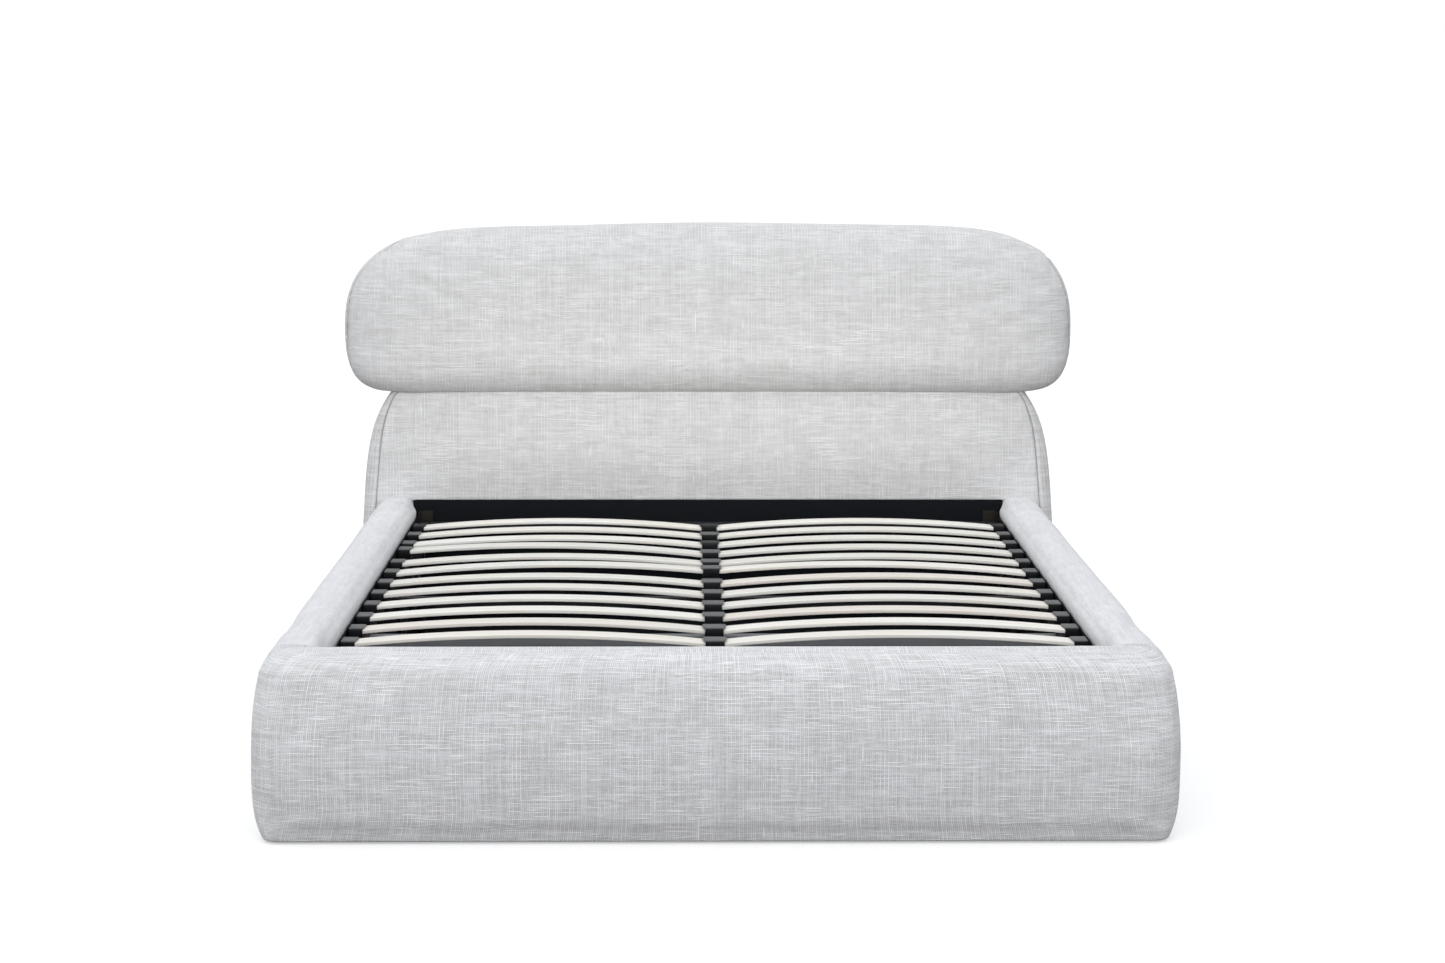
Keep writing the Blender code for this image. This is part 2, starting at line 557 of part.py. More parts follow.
def make_lift(side, suffix):
    """One side's hinge plate, lift arm and gas strut."""
    pivot = Vector((PIVOT_FROM_FOOT + RECESS_FOOT, PIVOT_Z))
    upper = pivot + Vector((-ARM_REACH, ARM_RISE))
    lower = pivot + Vector((-ANCHOR_REACH, -ANCHOR_DROP))
    strut = upper - lower
    length, along = strut.length, strut.normalized()

    def span(near, far):
        return sorted((side * near, side * far))

    def at(point, x):
        return (side * x, point.x, point.y)

    # Hinge plate on the rail board, with the main pin and the strut's lower stud
    low_x, high_x = span(PLATE_OUTER, PLATE_OUTER - PLATE)
    corner, above, below = 0.012, 0.022, 0.020
    to_head, head_drop, to_foot = 0.050, 0.040, 0.150
    stud_side, stud_drop = 0.030, 0.016
    outline = rounded_outline(((pivot.x + to_head, pivot.y + above, corner),
                               (lower.x - to_foot, pivot.y + above, corner),
                               (lower.x - to_foot, pivot.y - below, corner),
                               (lower.x - stud_side, lower.y - stud_drop, corner),
                               (lower.x + stud_side, lower.y - stud_drop, corner),
                               (pivot.x + to_head, pivot.y - head_drop, corner)))
    plate = side_plate("hinge_plate_" + suffix, outline, low_x, high_x, STEEL)
    plate_inner = PLATE_OUTER - PLATE
    arm_inner = ARM_OUTER - PLATE
    eye_outer, eye_inner = STRUT_X + EYE_THICK / 2, STRUT_X - EYE_THICK / 2
    pin_end, collar_start, collar_end = 0.008, 0.0005, 0.006
    pin = cylinder("pin_" + suffix, at(pivot, plate_inner + SINK), at(pivot, arm_inner - pin_end),
                   PIN_RADIUS)
    collar = cylinder("collar_" + suffix, at(pivot, arm_inner - collar_start),
                      at(pivot, arm_inner - collar_end), COLLAR_RADIUS)
    stud = cylinder("lower_stud_" + suffix, at(lower, plate_inner + SINK),
                    at(lower, eye_inner - STUD_PROUD), STUD_RADIUS, sides=16)
    boss = cylinder("lower_boss_" + suffix, at(lower, plate_inner + SINK / 2),
                    at(lower, eye_outer + BOSS_GAP), BOSS_RADIUS, sides=16)
    join(plate, pin, collar, boss, stud)

    # Lift arm along the frame's side tube, with the strut's upper stud
    low_x, high_x = span(ARM_OUTER, arm_inner)
    corner, above, below = 0.010, 0.038, 0.018
    to_head, past_stud, under_stud, neck_start = 0.026, 0.040, 0.016, 0.060
    outline = rounded_outline(((pivot.x + to_head, pivot.y + above, corner),
                               (upper.x - past_stud, pivot.y + above, corner),
                               (upper.x - past_stud, upper.y - under_stud, corner),
                               (pivot.x - neck_start, pivot.y - below, corner),
                               (pivot.x + to_head, pivot.y - below, corner)))
    arm = side_plate("lift_arm_" + suffix, outline, low_x, high_x, STEEL)
    hole = cylinder("pivot_hole_" + suffix, at(pivot, ARM_OUTER + CUT_PAST),
                    at(pivot, arm_inner - CUT_PAST), PIN_RADIUS + CLEARANCE)
    cut(arm, hole)
    join(arm, cylinder("upper_stud_" + suffix, at(upper, arm_inner + SINK / 2),
                       at(upper, eye_outer + 2 * CLEARANCE), STUD_RADIUS, sides=16))

    # Strut: chrome rod from the lower stud, black cylinder to the upper stud
    def on_strut(distance):
        return at(lower + along * distance, STRUT_X)

    def eye(name, point):
        return cylinder(name, at(point, eye_outer), at(point, eye_inner), EYE_RADIUS, sides=20)

    def eye_hole(name, point):
        return cylinder(name, at(point, eye_outer + CUT_PAST), at(point, eye_inner - CUT_PAST),
                        STUD_RADIUS + CLEARANCE, sides=16)

    # Distances along the strut, from the lower stud and back from the upper one
    rod_start, rod_end = 0.008, length - 0.030
    bore_start, bore_end = 0.040, length - 0.024
    body_start, body_end = 0.052, length - 0.018
    neck_start, neck_end = length - 0.022, length - 0.006
    rod = cylinder("strut_rod_" + suffix, on_strut(rod_start), on_strut(rod_end), ROD_RADIUS,
                   CHROME, 16)
    join(rod, eye("rod_eye_" + suffix, lower))
    cut(rod, eye_hole("rod_hole_" + suffix, lower))
    body = cylinder("strut_cylinder_" + suffix, on_strut(body_start), on_strut(body_end),
                    STRUT_RADIUS, STEEL)
    neck = cylinder("neck_" + suffix, on_strut(neck_start), on_strut(neck_end), NECK_RADIUS,
                    sides=16)
    join(body, neck, eye("cylinder_eye_" + suffix, upper))
    cut(body, cylinder("bore_" + suffix, on_strut(bore_start), on_strut(bore_end),
                       ROD_RADIUS + CLEARANCE, sides=16),
        eye_hole("eye_hole_" + suffix, upper))


def make_corner_bracket(side, suffix):
    """Zinc-plated angle that ties the headboard to the side rail."""
    height_low, height_high, flange, thick, end_gap = 0.250, 0.334, 0.036, 0.003, 0.001
    outer = HALF_WIDTH - GAP
    low_x, high_x = sorted((side * outer, side * (outer - flange)))
    body = box("corner_bracket_" + suffix, (low_x, RECESS_HEAD - thick, height_low),
               (high_x, RECESS_HEAD - GAP, height_high), ZINC)
    low_x, high_x = sorted((side * outer, side * (outer - thick)))
    join(body, box("side_flange_" + suffix, (low_x, RECESS_HEAD - flange, height_low),
                   (high_x, RECESS_HEAD - end_gap, height_high)))


def make_foot_fittings():
    """Ledge that the frame's foot end rests on, and the webbing strap that lifts it."""
    ledge_half, ledge_depth, ledge_height = 0.700, 0.036, 0.040
    box("foot_ledge", (-ledge_half, RECESS_FOOT + GAP, TUBE_BOTTOM - GAP - ledge_height),
        (ledge_half, RECESS_FOOT + ledge_depth, TUBE_BOTTOM - GAP), LINING)
    strap_y = RECESS_FOOT + FRAME_FOOT + TUBE + GAP
    strap_left, strap_width, strap_thick, edge = 0.060, 0.040, 0.005, 0.001
    strap_low, under_tube_top = 0.170, 0.004
    strap_high = TUBE_TOP - under_tube_top
    box("lift_strap", (strap_left, strap_y, strap_low),
        (strap_left + strap_width, strap_y + strap_thick, strap_high), WEBBING, edge)


make_headboard()
make_footboard()
make_inner_boards()
make_storage_floor()
make_frame_tubes()
make_holders()
make_foot_fittings()
for side_sign, word in ((-1, "left"), (1, "right")):
    make_side_rail(side_sign, "side_rail_" + word)
    make_lift(side_sign, word)
    make_corner_bracket(side_sign, word)
    for row_number in range(1, ROWS + 1):
        make_slat(side_sign, row_number, f"slat_{word}_{row_number:02d}")
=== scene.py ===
"""Looks of the storage bed: woven upholstery, wooden slats, plastic holders and coated steel.

Metres, +Z up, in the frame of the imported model: +Y points to the headboard and +X to the right
as seen from the foot. Sizes come from the frame's nodes where they can.
"""

import math

import bmesh
import bpy
import numpy as np
from mathutils import Matrix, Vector
from mathutils.kdtree import KDTree


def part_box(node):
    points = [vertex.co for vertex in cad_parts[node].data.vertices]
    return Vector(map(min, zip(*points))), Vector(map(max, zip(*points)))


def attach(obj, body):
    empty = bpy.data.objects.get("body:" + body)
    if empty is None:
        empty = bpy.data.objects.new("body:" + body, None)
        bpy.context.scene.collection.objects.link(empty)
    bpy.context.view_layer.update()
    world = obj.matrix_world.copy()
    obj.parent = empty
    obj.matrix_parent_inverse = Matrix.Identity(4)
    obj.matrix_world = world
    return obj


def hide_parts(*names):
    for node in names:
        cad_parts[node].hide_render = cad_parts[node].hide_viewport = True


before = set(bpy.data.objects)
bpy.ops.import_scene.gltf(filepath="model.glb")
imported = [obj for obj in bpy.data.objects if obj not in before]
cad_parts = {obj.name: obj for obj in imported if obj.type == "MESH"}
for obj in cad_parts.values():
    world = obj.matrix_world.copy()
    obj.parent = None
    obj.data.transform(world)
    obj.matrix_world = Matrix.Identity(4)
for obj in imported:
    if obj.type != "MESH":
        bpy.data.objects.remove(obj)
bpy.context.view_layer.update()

# Places read from the frame
HALF_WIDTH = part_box("foot_board")[1].x
RECESS_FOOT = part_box("foot_board")[1].y
RECESS_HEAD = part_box("headboard_panel")[0].y
PANEL_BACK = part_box("headboard_panel")[1].y
FLOOR_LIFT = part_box("footboard")[0].z
RAIL_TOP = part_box("footboard")[1].z
BOARD_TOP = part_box("foot_board")[1].z
HEAD_BOARD_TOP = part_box("head_board")[1].z
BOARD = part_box("head_board")[1].y - RECESS_HEAD
ROLL_LOW, ROLL_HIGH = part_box("headboard_bolster")

# Upholstery, as in the part's source
RAIL_THICK = 0.105
COVER_BACK = 0.003          # the rails' cover lies this far behind the recess's inner face
FOOT_SIDE = 0.107           # padding at the footboard's ends, a little more than the rails'
PAD_BULGE = 0.026
FOOT_THICK = 0.120
FOOT_BULGE = 0.030
ROLL_WIDEST = 0.820
GAP = 0.0003

# Slatted frame, as in the part's source
ROWS = 12
SLAT_CROWN = 0.020
SLAT_SPACING = 2.0          # from slat to slat in the wood's pattern

# Camera of the photograph
CAMERA_PLACE = (-0.0594, -6.5444, 1.4532)
CAMERA_YAW = math.radians(0.739)
CAMERA_PITCH = math.radians(7.843)
CAMERA_ROLL = math.radians(0.089)
CAMERA_LENS = 70.84
SENSOR = 36.0


class Number:
    """A number in a material or world. Arithmetic with it adds nodes."""

    def __init__(self, nodes, socket):
        self.nodes, self.socket = nodes, socket

    def __add__(self, other):
        return self.nodes.math("ADD", self, other)

    def __sub__(self, other):
        return self.nodes.math("SUBTRACT", self, other)

    def __rsub__(self, other):
        return self.nodes.math("SUBTRACT", other, self)

    def __mul__(self, other):
        return self.nodes.math("MULTIPLY", self, other)

    def __truediv__(self, other):
        return self.nodes.math("DIVIDE", self, other)


class Nodes:
    """Short calls that fill one material or world with nodes."""

    def __init__(self, owner):
        owner.use_nodes = True
        self.tree = owner.node_tree
        self.tree.nodes.clear()

    def add(self, kind, inputs=(), **settings):
        """A node with these settings. Its inputs are values, numbers or other nodes' sockets."""
        node = self.tree.nodes.new("ShaderNode" + kind)
        for name, value in settings.items():
            setattr(node, name, value)
        for key, value in dict(inputs).items():
            if isinstance(value, Number):
                value = value.socket
            if isinstance(value, bpy.types.NodeSocket):
                self.tree.links.new(value, node.inputs[key])
            else:
                node.inputs[key].default_value = value
        return node

    def number(self, kind, inputs=(), output=0, **settings):
        return Number(self, self.add(kind, inputs, **settings).outputs[output])

    def math(self, operation, *values):
        return self.number("Math", enumerate(values), operation=operation)

    def split(self, vector):
        return [Number(self, part) for part in self.add("SeparateXYZ", {0: vector}).outputs]

    def noise(self, x, y, detail=0.0):
        """Smooth noise from 0 to 1 around 0.5, at the point (x, y)."""
        point = self.add("CombineXYZ", {"X": x, "Y": y}).outputs[0]
        return self.number("TexNoise", {"Vector": point, "Scale": 1.0, "Detail": detail},
                           noise_dimensions="2D")

    def step(self, value, low, high, from_value=0.0, to_value=1.0):
        """from_value up to low, then smoothly to to_value at high."""
        return self.number("MapRange", {"Value": value, "From Min": low, "From Max": high,
                                        "To Min": from_value, "To Max": to_value},
                           interpolation_type="SMOOTHSTEP")

    def uneven(self, noise, share):
        """A factor around 1 that follows the noise, by up to this share both ways."""
        return self.step(noise, 0.25, 0.75, 1.0 - share, 1.0 + share)

    def mix(self, factor, first, second):
        """Between two colours."""
        first, second = ((*colour, 1.0) if isinstance(colour, tuple) else colour
                         for colour in (first, second))
        return self.add("Mix", {0: factor, 6: first, 7: second}, data_type="RGBA").outputs[2]

    def scaled(self, colour, factor):
        """A colour made brighter or darker by a factor."""
        return self.add("VectorMath", {0: colour, "Scale": factor}, operation="SCALE").outputs[0]

    def bump(self, strength, distance, height):
        return self.add("Bump", {"Strength": strength, "Distance": distance,
                                 "Height": height}).outputs[0]

    def seen_directly(self):
        """1 for rays from the camera, in mirrors and through glass, otherwise 0."""
        path = self.add("LightPath").outputs
        seen = self.math("MAXIMUM", path["Is Camera Ray"], path["Is Glossy Ray"])
        return self.math("MAXIMUM", seen, path["Is Transmission Ray"])

    def surface(self, inputs):
        """The shader with these inputs, as the material's output."""
        shader = self.add("BsdfPrincipled", inputs)
        self.add("OutputMaterial", {"Surface": shader.outputs[0]})


# Cloth
YARN_WIDTH = 0.0039         # of an upright yarn
ROW_HEIGHT = 0.0027         # of a level yarn
YARN_BEND = 0.004           # how far a yarn wanders sideways
CLOTH_UV = "cloth"
YARN_GREY, YARN_BLUE, SLUB_WHITE = (0.64, 0.64, 0.635), (0.87, 0.88, 0.91), (0.97, 0.975, 0.99)
MEAN_CLOTH = (0.73, 0.735, 0.745)
SEAM_SHADOW = 0.55          # painted shade: how much darker the cloth is coloured at the bottom of a seam


def cloth_material(name, tint, plain=0.0):
    """Light grey linen-look cloth: a plain weave of uneven yarns with white slubs.

    tint multiplies its colour and is painted light, for the light on the pieces that wear this copy,
    and plain draws all yarns towards their mean.
    """
    material = bpy.data.materials.new(name)
    nodes = Nodes(material)
    u, v, _ = nodes.split(nodes.add("UVMap", uv_map=CLOTH_UV).outputs[0])

    def yarn_set(along, across, pitch, seed, group_rate, rare, range_low, shadow):
        """One direction of yarns: their number, roundness, thickness and colour, with a shadow
        painted below each yarn.
        """
        bend = nodes.noise(along * 5.0, across * 3.0 + seed)
        count = (bend * YARN_BEND + across) / pitch
        number = nodes.math("FLOOR", count)
        apart = number * 7.31 + seed
        fast = nodes.noise(along * 30.0, apart, detail=1.0)
        slow = nodes.noise(along * 4.0, apart + 50.0)
        fleck = nodes.noise(along * 19.0, apart + 90.0)
        group = nodes.noise(along * group_rate, across * (3 * group_rate) + (seed + 40.0))
        slub = nodes.step(group * 0.35 + fleck, rare, rare + 0.22)
        tone = slow * 0.45 + fast * 0.55
        shade = nodes.mix(nodes.step(tone, range_low, 1.0 - range_low), YARN_GREY, YARN_BLUE)
        # Painted shade: a yarn that stands out has a shadow painted below it, along its lower edge.
        part = count - number
        painted_yarn_shadow = nodes.step(part, 0.05, 0.45, shadow, 1.0)
        colour = nodes.scaled(nodes.mix(slub, shade, SLUB_WHITE), painted_yarn_shadow)
        return number, nodes.math("SINE", part * math.pi), tone * 0.9 + 0.1 + slub * 1.1, colour

    row, row_round, row_thick, row_colour = yarn_set(u, v, ROW_HEIGHT, 3.7, 5.0, 0.80,
                                                     0.36, 0.22)
    column, column_round, column_thick, column_colour = yarn_set(v, u, YARN_WIDTH, 9.2, 6.0, 1.0,
                                                                 0.16, 0.58)
    row_over = nodes.math("PINGPONG", row + column, 1.0) * 2.0 - 1.0
    row_height = row_round * (row_over * 0.10 + row_thick)
    column_height = column_round * (row_over * -0.10 + column_thick)
    height = nodes.math("MAXIMUM", row_height, column_height)
    row_shows = nodes.step(row_height - column_height, -0.15, 0.15)
    colour = nodes.mix(row_shows, column_colour, row_colour)
    patch = nodes.noise(u * 16.0, v * 24.0, detail=2.0)
    streak = nodes.noise(u * 13.0, v * 95.0, detail=2.0)
    fibre = nodes.noise(u * 700.0, v * 700.0)
    # Painted shade darkens the gaps between upright yarns, and each second upright yarn is thicker,
    # which shows through the level ones.
    thick = nodes.math("PINGPONG", column, 1.0)
    hatch_and_gap_shade = column_round * 0.060 + thick * 0.050 + 0.945
    # Painted shade from the mesh's groove attribute: in seams, and a little on the panel's side
    # strips.
    painted_seam_shade = nodes.number("Attribute", output="Fac", attribute_name="groove")
    bright = (nodes.uneven(patch, 0.03) * nodes.uneven(fibre, 0.07) * nodes.uneven(streak, 0.04)
              * hatch_and_gap_shade * (painted_seam_shade * -SEAM_SHADOW + 1.0))
    colour = nodes.scaled(nodes.mix(plain, colour, MEAN_CLOTH), bright)
    # Painted light: the tint stands for the light on this copy's pieces.
    colour_with_painted_light = nodes.add("VectorMath", {0: colour, 1: tint}, operation="MULTIPLY").outputs[0]
    nodes.surface({"Base Color": colour_with_painted_light, "Roughness": 0.92, "Specular IOR Level": 0.15,
                   "Sheen Weight": 0.30, "Sheen Roughness": 0.45,
                   "Normal": nodes.bump(0.35, 0.0008, height)})
    return material


def simple_material(name, colour, roughness, metallic=0.0, specular=0.5, grain=600.0,
                    variation=0.25, bump_depth=0.0001):
    """A coat with fine, uneven grain in colour, gloss and height."""
    material = bpy.data.materials.new(name)
    nodes = Nodes(material)
    place = nodes.add("TexCoord").outputs["Object"]
    fine = nodes.number("TexNoise", {"Vector": place, "Scale": grain, "Detail": 2.0})
    broad = nodes.number("TexNoise", {"Vector": place, "Scale": grain / 40, "Detail": 3.0})
    factor = fine * variation + broad * variation + (1.0 - variation)
    gloss = nodes.step(broad, 0.3, 0.7, roughness * 0.85, min(1.0, roughness * 1.15))
    nodes.surface({"Base Color": nodes.scaled(colour, factor), "Roughness": gloss,
                   "Metallic": metallic, "Specular IOR Level": specular,
                   "Normal": nodes.bump(0.6, bump_depth, fine)})
    return material


SLAT_WIDTH = 0.053
SLAT_THICK = 0.008
SLAT_EDGE = 0.0015          # width of the top's rounded edges
SLAT_LAYERS = 5
PALE_WOOD, CREAM_WOOD, PINK_WOOD = (0.98, 0.965, 0.92), (0.95, 0.915, 0.84), (0.95, 0.87, 0.80)


def wood_material():
    """Pale slat wood: long fine grain on top, and the lines of its glued layers at the edges."""
    material = bpy.data.materials.new("pale_wood")
    nodes = Nodes(material)
    u, v, _ = nodes.split(nodes.add("UVMap", uv_map=CLOTH_UV).outputs[0])
    board = nodes.math("FLOOR", u / SLAT_SPACING)
    shade = nodes.noise(board * 5.37, 0.5)
    tint = nodes.noise(board * 3.71, 8.5)
    drift = nodes.noise(u * 1.5, v * 9.0)
    grain = nodes.noise(u * 7.0, v * 620.0 + drift * 4.0, detail=2.0)
    patch = nodes.noise(u * 4.0, v * 30.0, detail=1.0)
    tone = nodes.mix(nodes.step(patch, 0.35, 0.75), PALE_WOOD, CREAM_WOOD)
    tone = nodes.mix(nodes.step(tint, 0.52, 0.70) * 0.7, tone, PINK_WOOD)
    # Places round the section: 0 along the middle of the top, growing to both sides
    off_top = nodes.math("ABSOLUTE", v) - (SLAT_WIDTH / 2 - SLAT_EDGE)
    layer = nodes.math("PINGPONG", off_top / (SLAT_THICK / SLAT_LAYERS), 1.0)
    on_edge = nodes.step(off_top, 0.0, 0.0012)
    lines = on_edge * nodes.step(layer, 0.05, 0.45, 0.94, 1.0) + (1.0 - on_edge)
    bright = (nodes.step(grain, 0.25, 0.60, 0.90, 1.0) * nodes.step(shade, 0.3, 0.7, 0.93, 1.02)
              * lines)
    nodes.surface({"Base Color": nodes.scaled(tone, bright), "Specular IOR Level": 0.35,
                   "Roughness": nodes.step(grain, 0.2, 0.7, 0.62, 0.48),
                   "Normal": nodes.bump(0.4, 0.0002, grain)})
    return material


# One cloth in three copies, whose tints are painted light: the rails' copy is lighter and bluer, as
# their tops face the sky, and the headboard's darker and warmer.
CLOTH = cloth_material("woven_cloth", (1.060, 1.060, 1.068))
RAIL_CLOTH_PAINTED_LIGHT = cloth_material("woven_cloth_rails_painted_light", (1.085, 1.085, 1.115), 0.55)
HEAD_CLOTH_PAINTED_LIGHT = cloth_material("woven_cloth_headboard_painted_light", (1.018, 1.013, 1.008), 0.3)
WOOD = wood_material()
LINING = simple_material("black_lining", (0.0085, 0.0100, 0.0125), 0.9, specular=0.10,
                         grain=900.0, variation=0.5, bump_depth=0.0003)
STEEL = simple_material("black_steel", (0.016, 0.017, 0.019), 0.50, metallic=0.1, specular=0.35)
GREY_STEEL = simple_material("grey_steel", (0.30, 0.31, 0.33), 0.50, metallic=0.2)
ZINC = simple_material("zinc_steel", (0.026, 0.024, 0.017), 0.42, metallic=0.5)
CHROME = simple_material("rod_chrome", (0.72, 0.72, 0.74), 0.12, metallic=1.0, variation=0.05)
PLASTIC = simple_material("holder_plastic", (0.105, 0.107, 0.112), 0.50, specular=0.4,
                          grain=1500.0)
# Black plastic of the holders' bodies, and painted shade on the caps that lie in shade.
DARK_AND_SHADED_PLASTIC = simple_material("dark_and_shaded_holder_plastic", (0.007, 0.008, 0.010), 0.50, specular=0.2,
                               grain=1500.0)
WEBBING = simple_material("strap_webbing", (0.015, 0.015, 0.017), 0.85, specular=0.15)

NODE_MATERIALS = (
    (("foot_board", "head_board", "rail_board", "base_batten", "floor_beam", "floor_panel",
      "foot_ledge"), LINING),
    (("frame_cross_foot",), GREY_STEEL),
    (("frame_tube", "frame_cross", "hinge_plate", "lift_arm", "strut_cylinder"), STEEL),
    (("strut_rod",), CHROME),
    (("corner_bracket",), ZINC),
    (("lift_strap",), WEBBING),
)


def dress_nodes():
    """Better materials on the CAD nodes that stay in view."""
    for name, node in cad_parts.items():
        for starts, material in NODE_MATERIALS:
            if name.startswith(starts):
                node.data.materials.clear()
                node.data.materials.append(material)
                break


def new_object(name, data):
    """A new object in the scene."""
    made = bpy.data.objects.new(name, data)
    bpy.context.scene.collection.objects.link(made)
    return made


def stacked(*coordinates):
    """Points from their coordinates, of which some may be single numbers."""
    return np.stack(np.broadcast_arrays(*coordinates), axis=-1)


def close_rings(rings):
    """The rings with their first point once more at the end."""
    return np.concatenate([rings, rings[:, :1]], axis=1)


def ring_mesh(name, rings, maps, material, chosen=None, groove=None):
    """A closed skin through equal rings, with each face's cloth map chosen by number.

    rings is (levels, points, 3). Each map is (levels, points + 1, 2), because the last column
    closes the ring. chosen is (levels - 1, points), and picks one of maps for each face. groove
    is painted shade in the cloth's colour: 1 at the bottom of a seam.
    """
    levels, count, _ = rings.shape
    if chosen is None:
        chosen = np.zeros((levels - 1, count), dtype=int)
    level, point = np.meshgrid(np.arange(levels - 1), np.arange(count), indexing="ij")
    following = (point + 1) % count
    faces = stacked(level * count + point, level * count + following,
                    (level + 1) * count + following, (level + 1) * count + point)
    mesh = bpy.data.meshes.new(name)
    mesh.from_pydata(rings.reshape(-1, 3).tolist(), [], faces.reshape(-1, 4).tolist())
    corners = np.stack([np.stack([m[:-1, :-1], m[:-1, 1:], m[1:, 1:], m[1:, :-1]], axis=2)
                        for m in maps])
    picked = np.take_along_axis(corners, chosen[None, :, :, None, None], axis=0)[0]
    layer = mesh.uv_layers.new(name=CLOTH_UV)
    layer.data.foreach_set("uv", picked.astype(np.float32).ravel())
    # The groove attribute carries painted shade to the cloth's colour.
    if groove is not None:
        depth = mesh.attributes.new("groove", "FLOAT", "POINT")
        depth.data.foreach_set("value", groove.astype(np.float32).ravel())
    bm = bmesh.new()
    bm.from_mesh(mesh)
    bmesh.ops.remove_doubles(bm, verts=bm.verts, dist=0.000002)
    bm.normal_update()
    bmesh.ops.recalc_face_normals(bm, faces=bm.faces)
    bm.to_mesh(mesh)
    bm.free()
    mesh.materials.append(material)
    mesh.shade_smooth()
    return new_object(name, mesh)


def add_cover(name, node, rings, maps, chosen, material, groove=None):
    """A cloth cover on its filling, in place of a CAD node."""
    piece = ring_mesh(name, rings, maps, material, chosen, groove)
    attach(piece, "base")
    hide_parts(node)


def surface_normals(rings, centre):
    """Unit normals of a grid of closed rings, pointing away from centre (an array or a point)."""
    along = np.gradient(rings, axis=0)
    wrapped = np.concatenate([rings[:, -1:], rings, rings[:, :1]], axis=1)
    around = wrapped[:, 2:] - wrapped[:, :-2]
    normals = np.cross(along, around)
    normals /= np.maximum(np.linalg.norm(normals, axis=-1, keepdims=True), 1e-9)
    outward = np.sign(np.sum(normals * (rings - centre), axis=-1, keepdims=True))
    return normals * np.where(outward == 0, 1.0, outward)


BROAD = 0.045               # movement of the cloth smoother than this is taken off again
FOLD_SHARE = 0.55           # how much of its finer movement the cover keeps
LARGEST_MOVE = 0.014
CLOTH_FACE = 0.011          # size of a face of the simulated cloth
CLOTH_STEPS = 20


def mesh_points(mesh):
    points = np.empty(len(mesh.vertices) * 3)
    mesh.vertices.foreach_get("co", points)
    return points.reshape(-1, 3)


def smooth_waves(points, length, seed):
    """Soft uneven waves from -1 to 1 over points, about length apart."""
    total = 0.0
    for i in range(5):
        turn = seed + 1.9 * i
        way = np.array([math.cos(turn), 0.6 * math.sin(2.3 * turn), math.sin(turn)])
        total = total + np.sin(points @ way * (2 * math.pi / length) * (0.7 + 0.17 * i) + 5.1 * turn)
    return total / 3.2


def simulated(name, form, held):
    """Where the points of a cloth over form start, and how they move under pressure."""
    remesh = form.modifiers.new("even", "REMESH")
    remesh.mode, remesh.voxel_size = "VOXEL", CLOTH_FACE
    evened = form.evaluated_get(bpy.context.evaluated_depsgraph_get())
    copy = new_object(name + "_cloth", bpy.data.meshes.new_from_object(evened))
    start = mesh_points(copy.data)
    for group_name, weights in (("held", held(start)),
                                ("slack", 0.5 + 0.5 * smooth_waves(start, 0.23, len(name)))):
        group = copy.vertex_groups.new(name=group_name)
        for i, weight in enumerate(np.clip(weights, 0.0, 1.0)):
            if weight > 0.01:
                group.add([i], float(weight), "REPLACE")
    cloth = copy.modifiers.new("cover", "CLOTH")
    settings = cloth.settings
    settings.quality, settings.mass = 4, 0.25
    settings.tension_stiffness = settings.compression_stiffness = 12.0
    settings.shear_stiffness, settings.bending_stiffness = 4.0, 0.4
    settings.use_pressure, settings.uniform_pressure_force = True, 4.0
    settings.vertex_group_mass, settings.pin_stiffness = "held", 1.0
    settings.vertex_group_shrink = "slack"
    settings.shrink_min, settings.shrink_max = 0.004, -0.018
    settings.effector_weights.gravity = 0.0
    cloth.point_cache.frame_start, cloth.point_cache.frame_end = 1, CLOTH_STEPS
    for step in range(1, CLOTH_STEPS + 1):
        bpy.context.scene.frame_set(step)
    graph = bpy.context.evaluated_depsgraph_get()
    moved = mesh_points(copy.evaluated_get(graph).data) - start
    bpy.context.scene.frame_set(1)
    for spent in (copy, form):
        bpy.data.objects.remove(spent)
    return start, moved


def broad_part(points, moved, batch=4000, thinning=23):
    """The movement averaged over a wide neighbourhood of each point."""
    chosen = np.arange(0, len(points), thinning)
    broad = np.zeros_like(moved)
    for first in range(0, len(points), batch):
        part = slice(first, first + batch)
        apart = ((points[part, None, :] - points[None, chosen, :]) ** 2).sum(axis=-1)
        weights = np.exp(-apart / (2 * BROAD ** 2))
        broad[part] = weights @ moved[chosen] / weights.sum(axis=1, keepdims=True)
    return broad


def settle(name, rings, centre, held, start_in=0.003):
    """The rings after their cover has settled as cloth, under pressure from its filling.

    The simulation runs on a plain copy without seams. held(points) says from 0 to 1 how firmly
    the cover is fixed there. The cushion's overall shape is known from the photograph, so that
    the broad part of the movement is taken off again.
    """
    free = 1.0 - held(rings.reshape(-1, 3)).reshape(rings.shape[:2])
    small = rings - surface_normals(rings, centre) * (start_in * free)[..., None]
    form = ring_mesh(name + "_form", small, [close_rings(small)[..., :2]], CLOTH)
    start, moved = simulated(name, form, held)
    length = np.linalg.norm(moved, axis=1, keepdims=True)
    moved *= np.minimum(1.0, LARGEST_MOVE / np.maximum(length, 1e-6))
    moved -= broad_part(start, moved)
    tree = KDTree(len(start))
    for i, point in enumerate(start):
        tree.insert(point, i)
    tree.balance()
    carried = np.zeros((small.size // 3, 3))
    for i, point in enumerate(small.reshape(-1, 3)):
        near = tree.find_n(point, 5)
        weights = np.array([1 / (distance + CLOTH_FACE / 3) ** 2 for _, _, distance in near])
        carried[i] = weights @ moved[[index for _, index, _ in near]] / weights.sum()
    return rings + FOLD_SHARE * carried.reshape(small.shape) * free[..., None]


def fading(distance, full, none):
    """1 up to the distance full, then falling to 0 at the distance none."""
    return np.clip((none - distance) / (none - full), 0.0, 1.0)


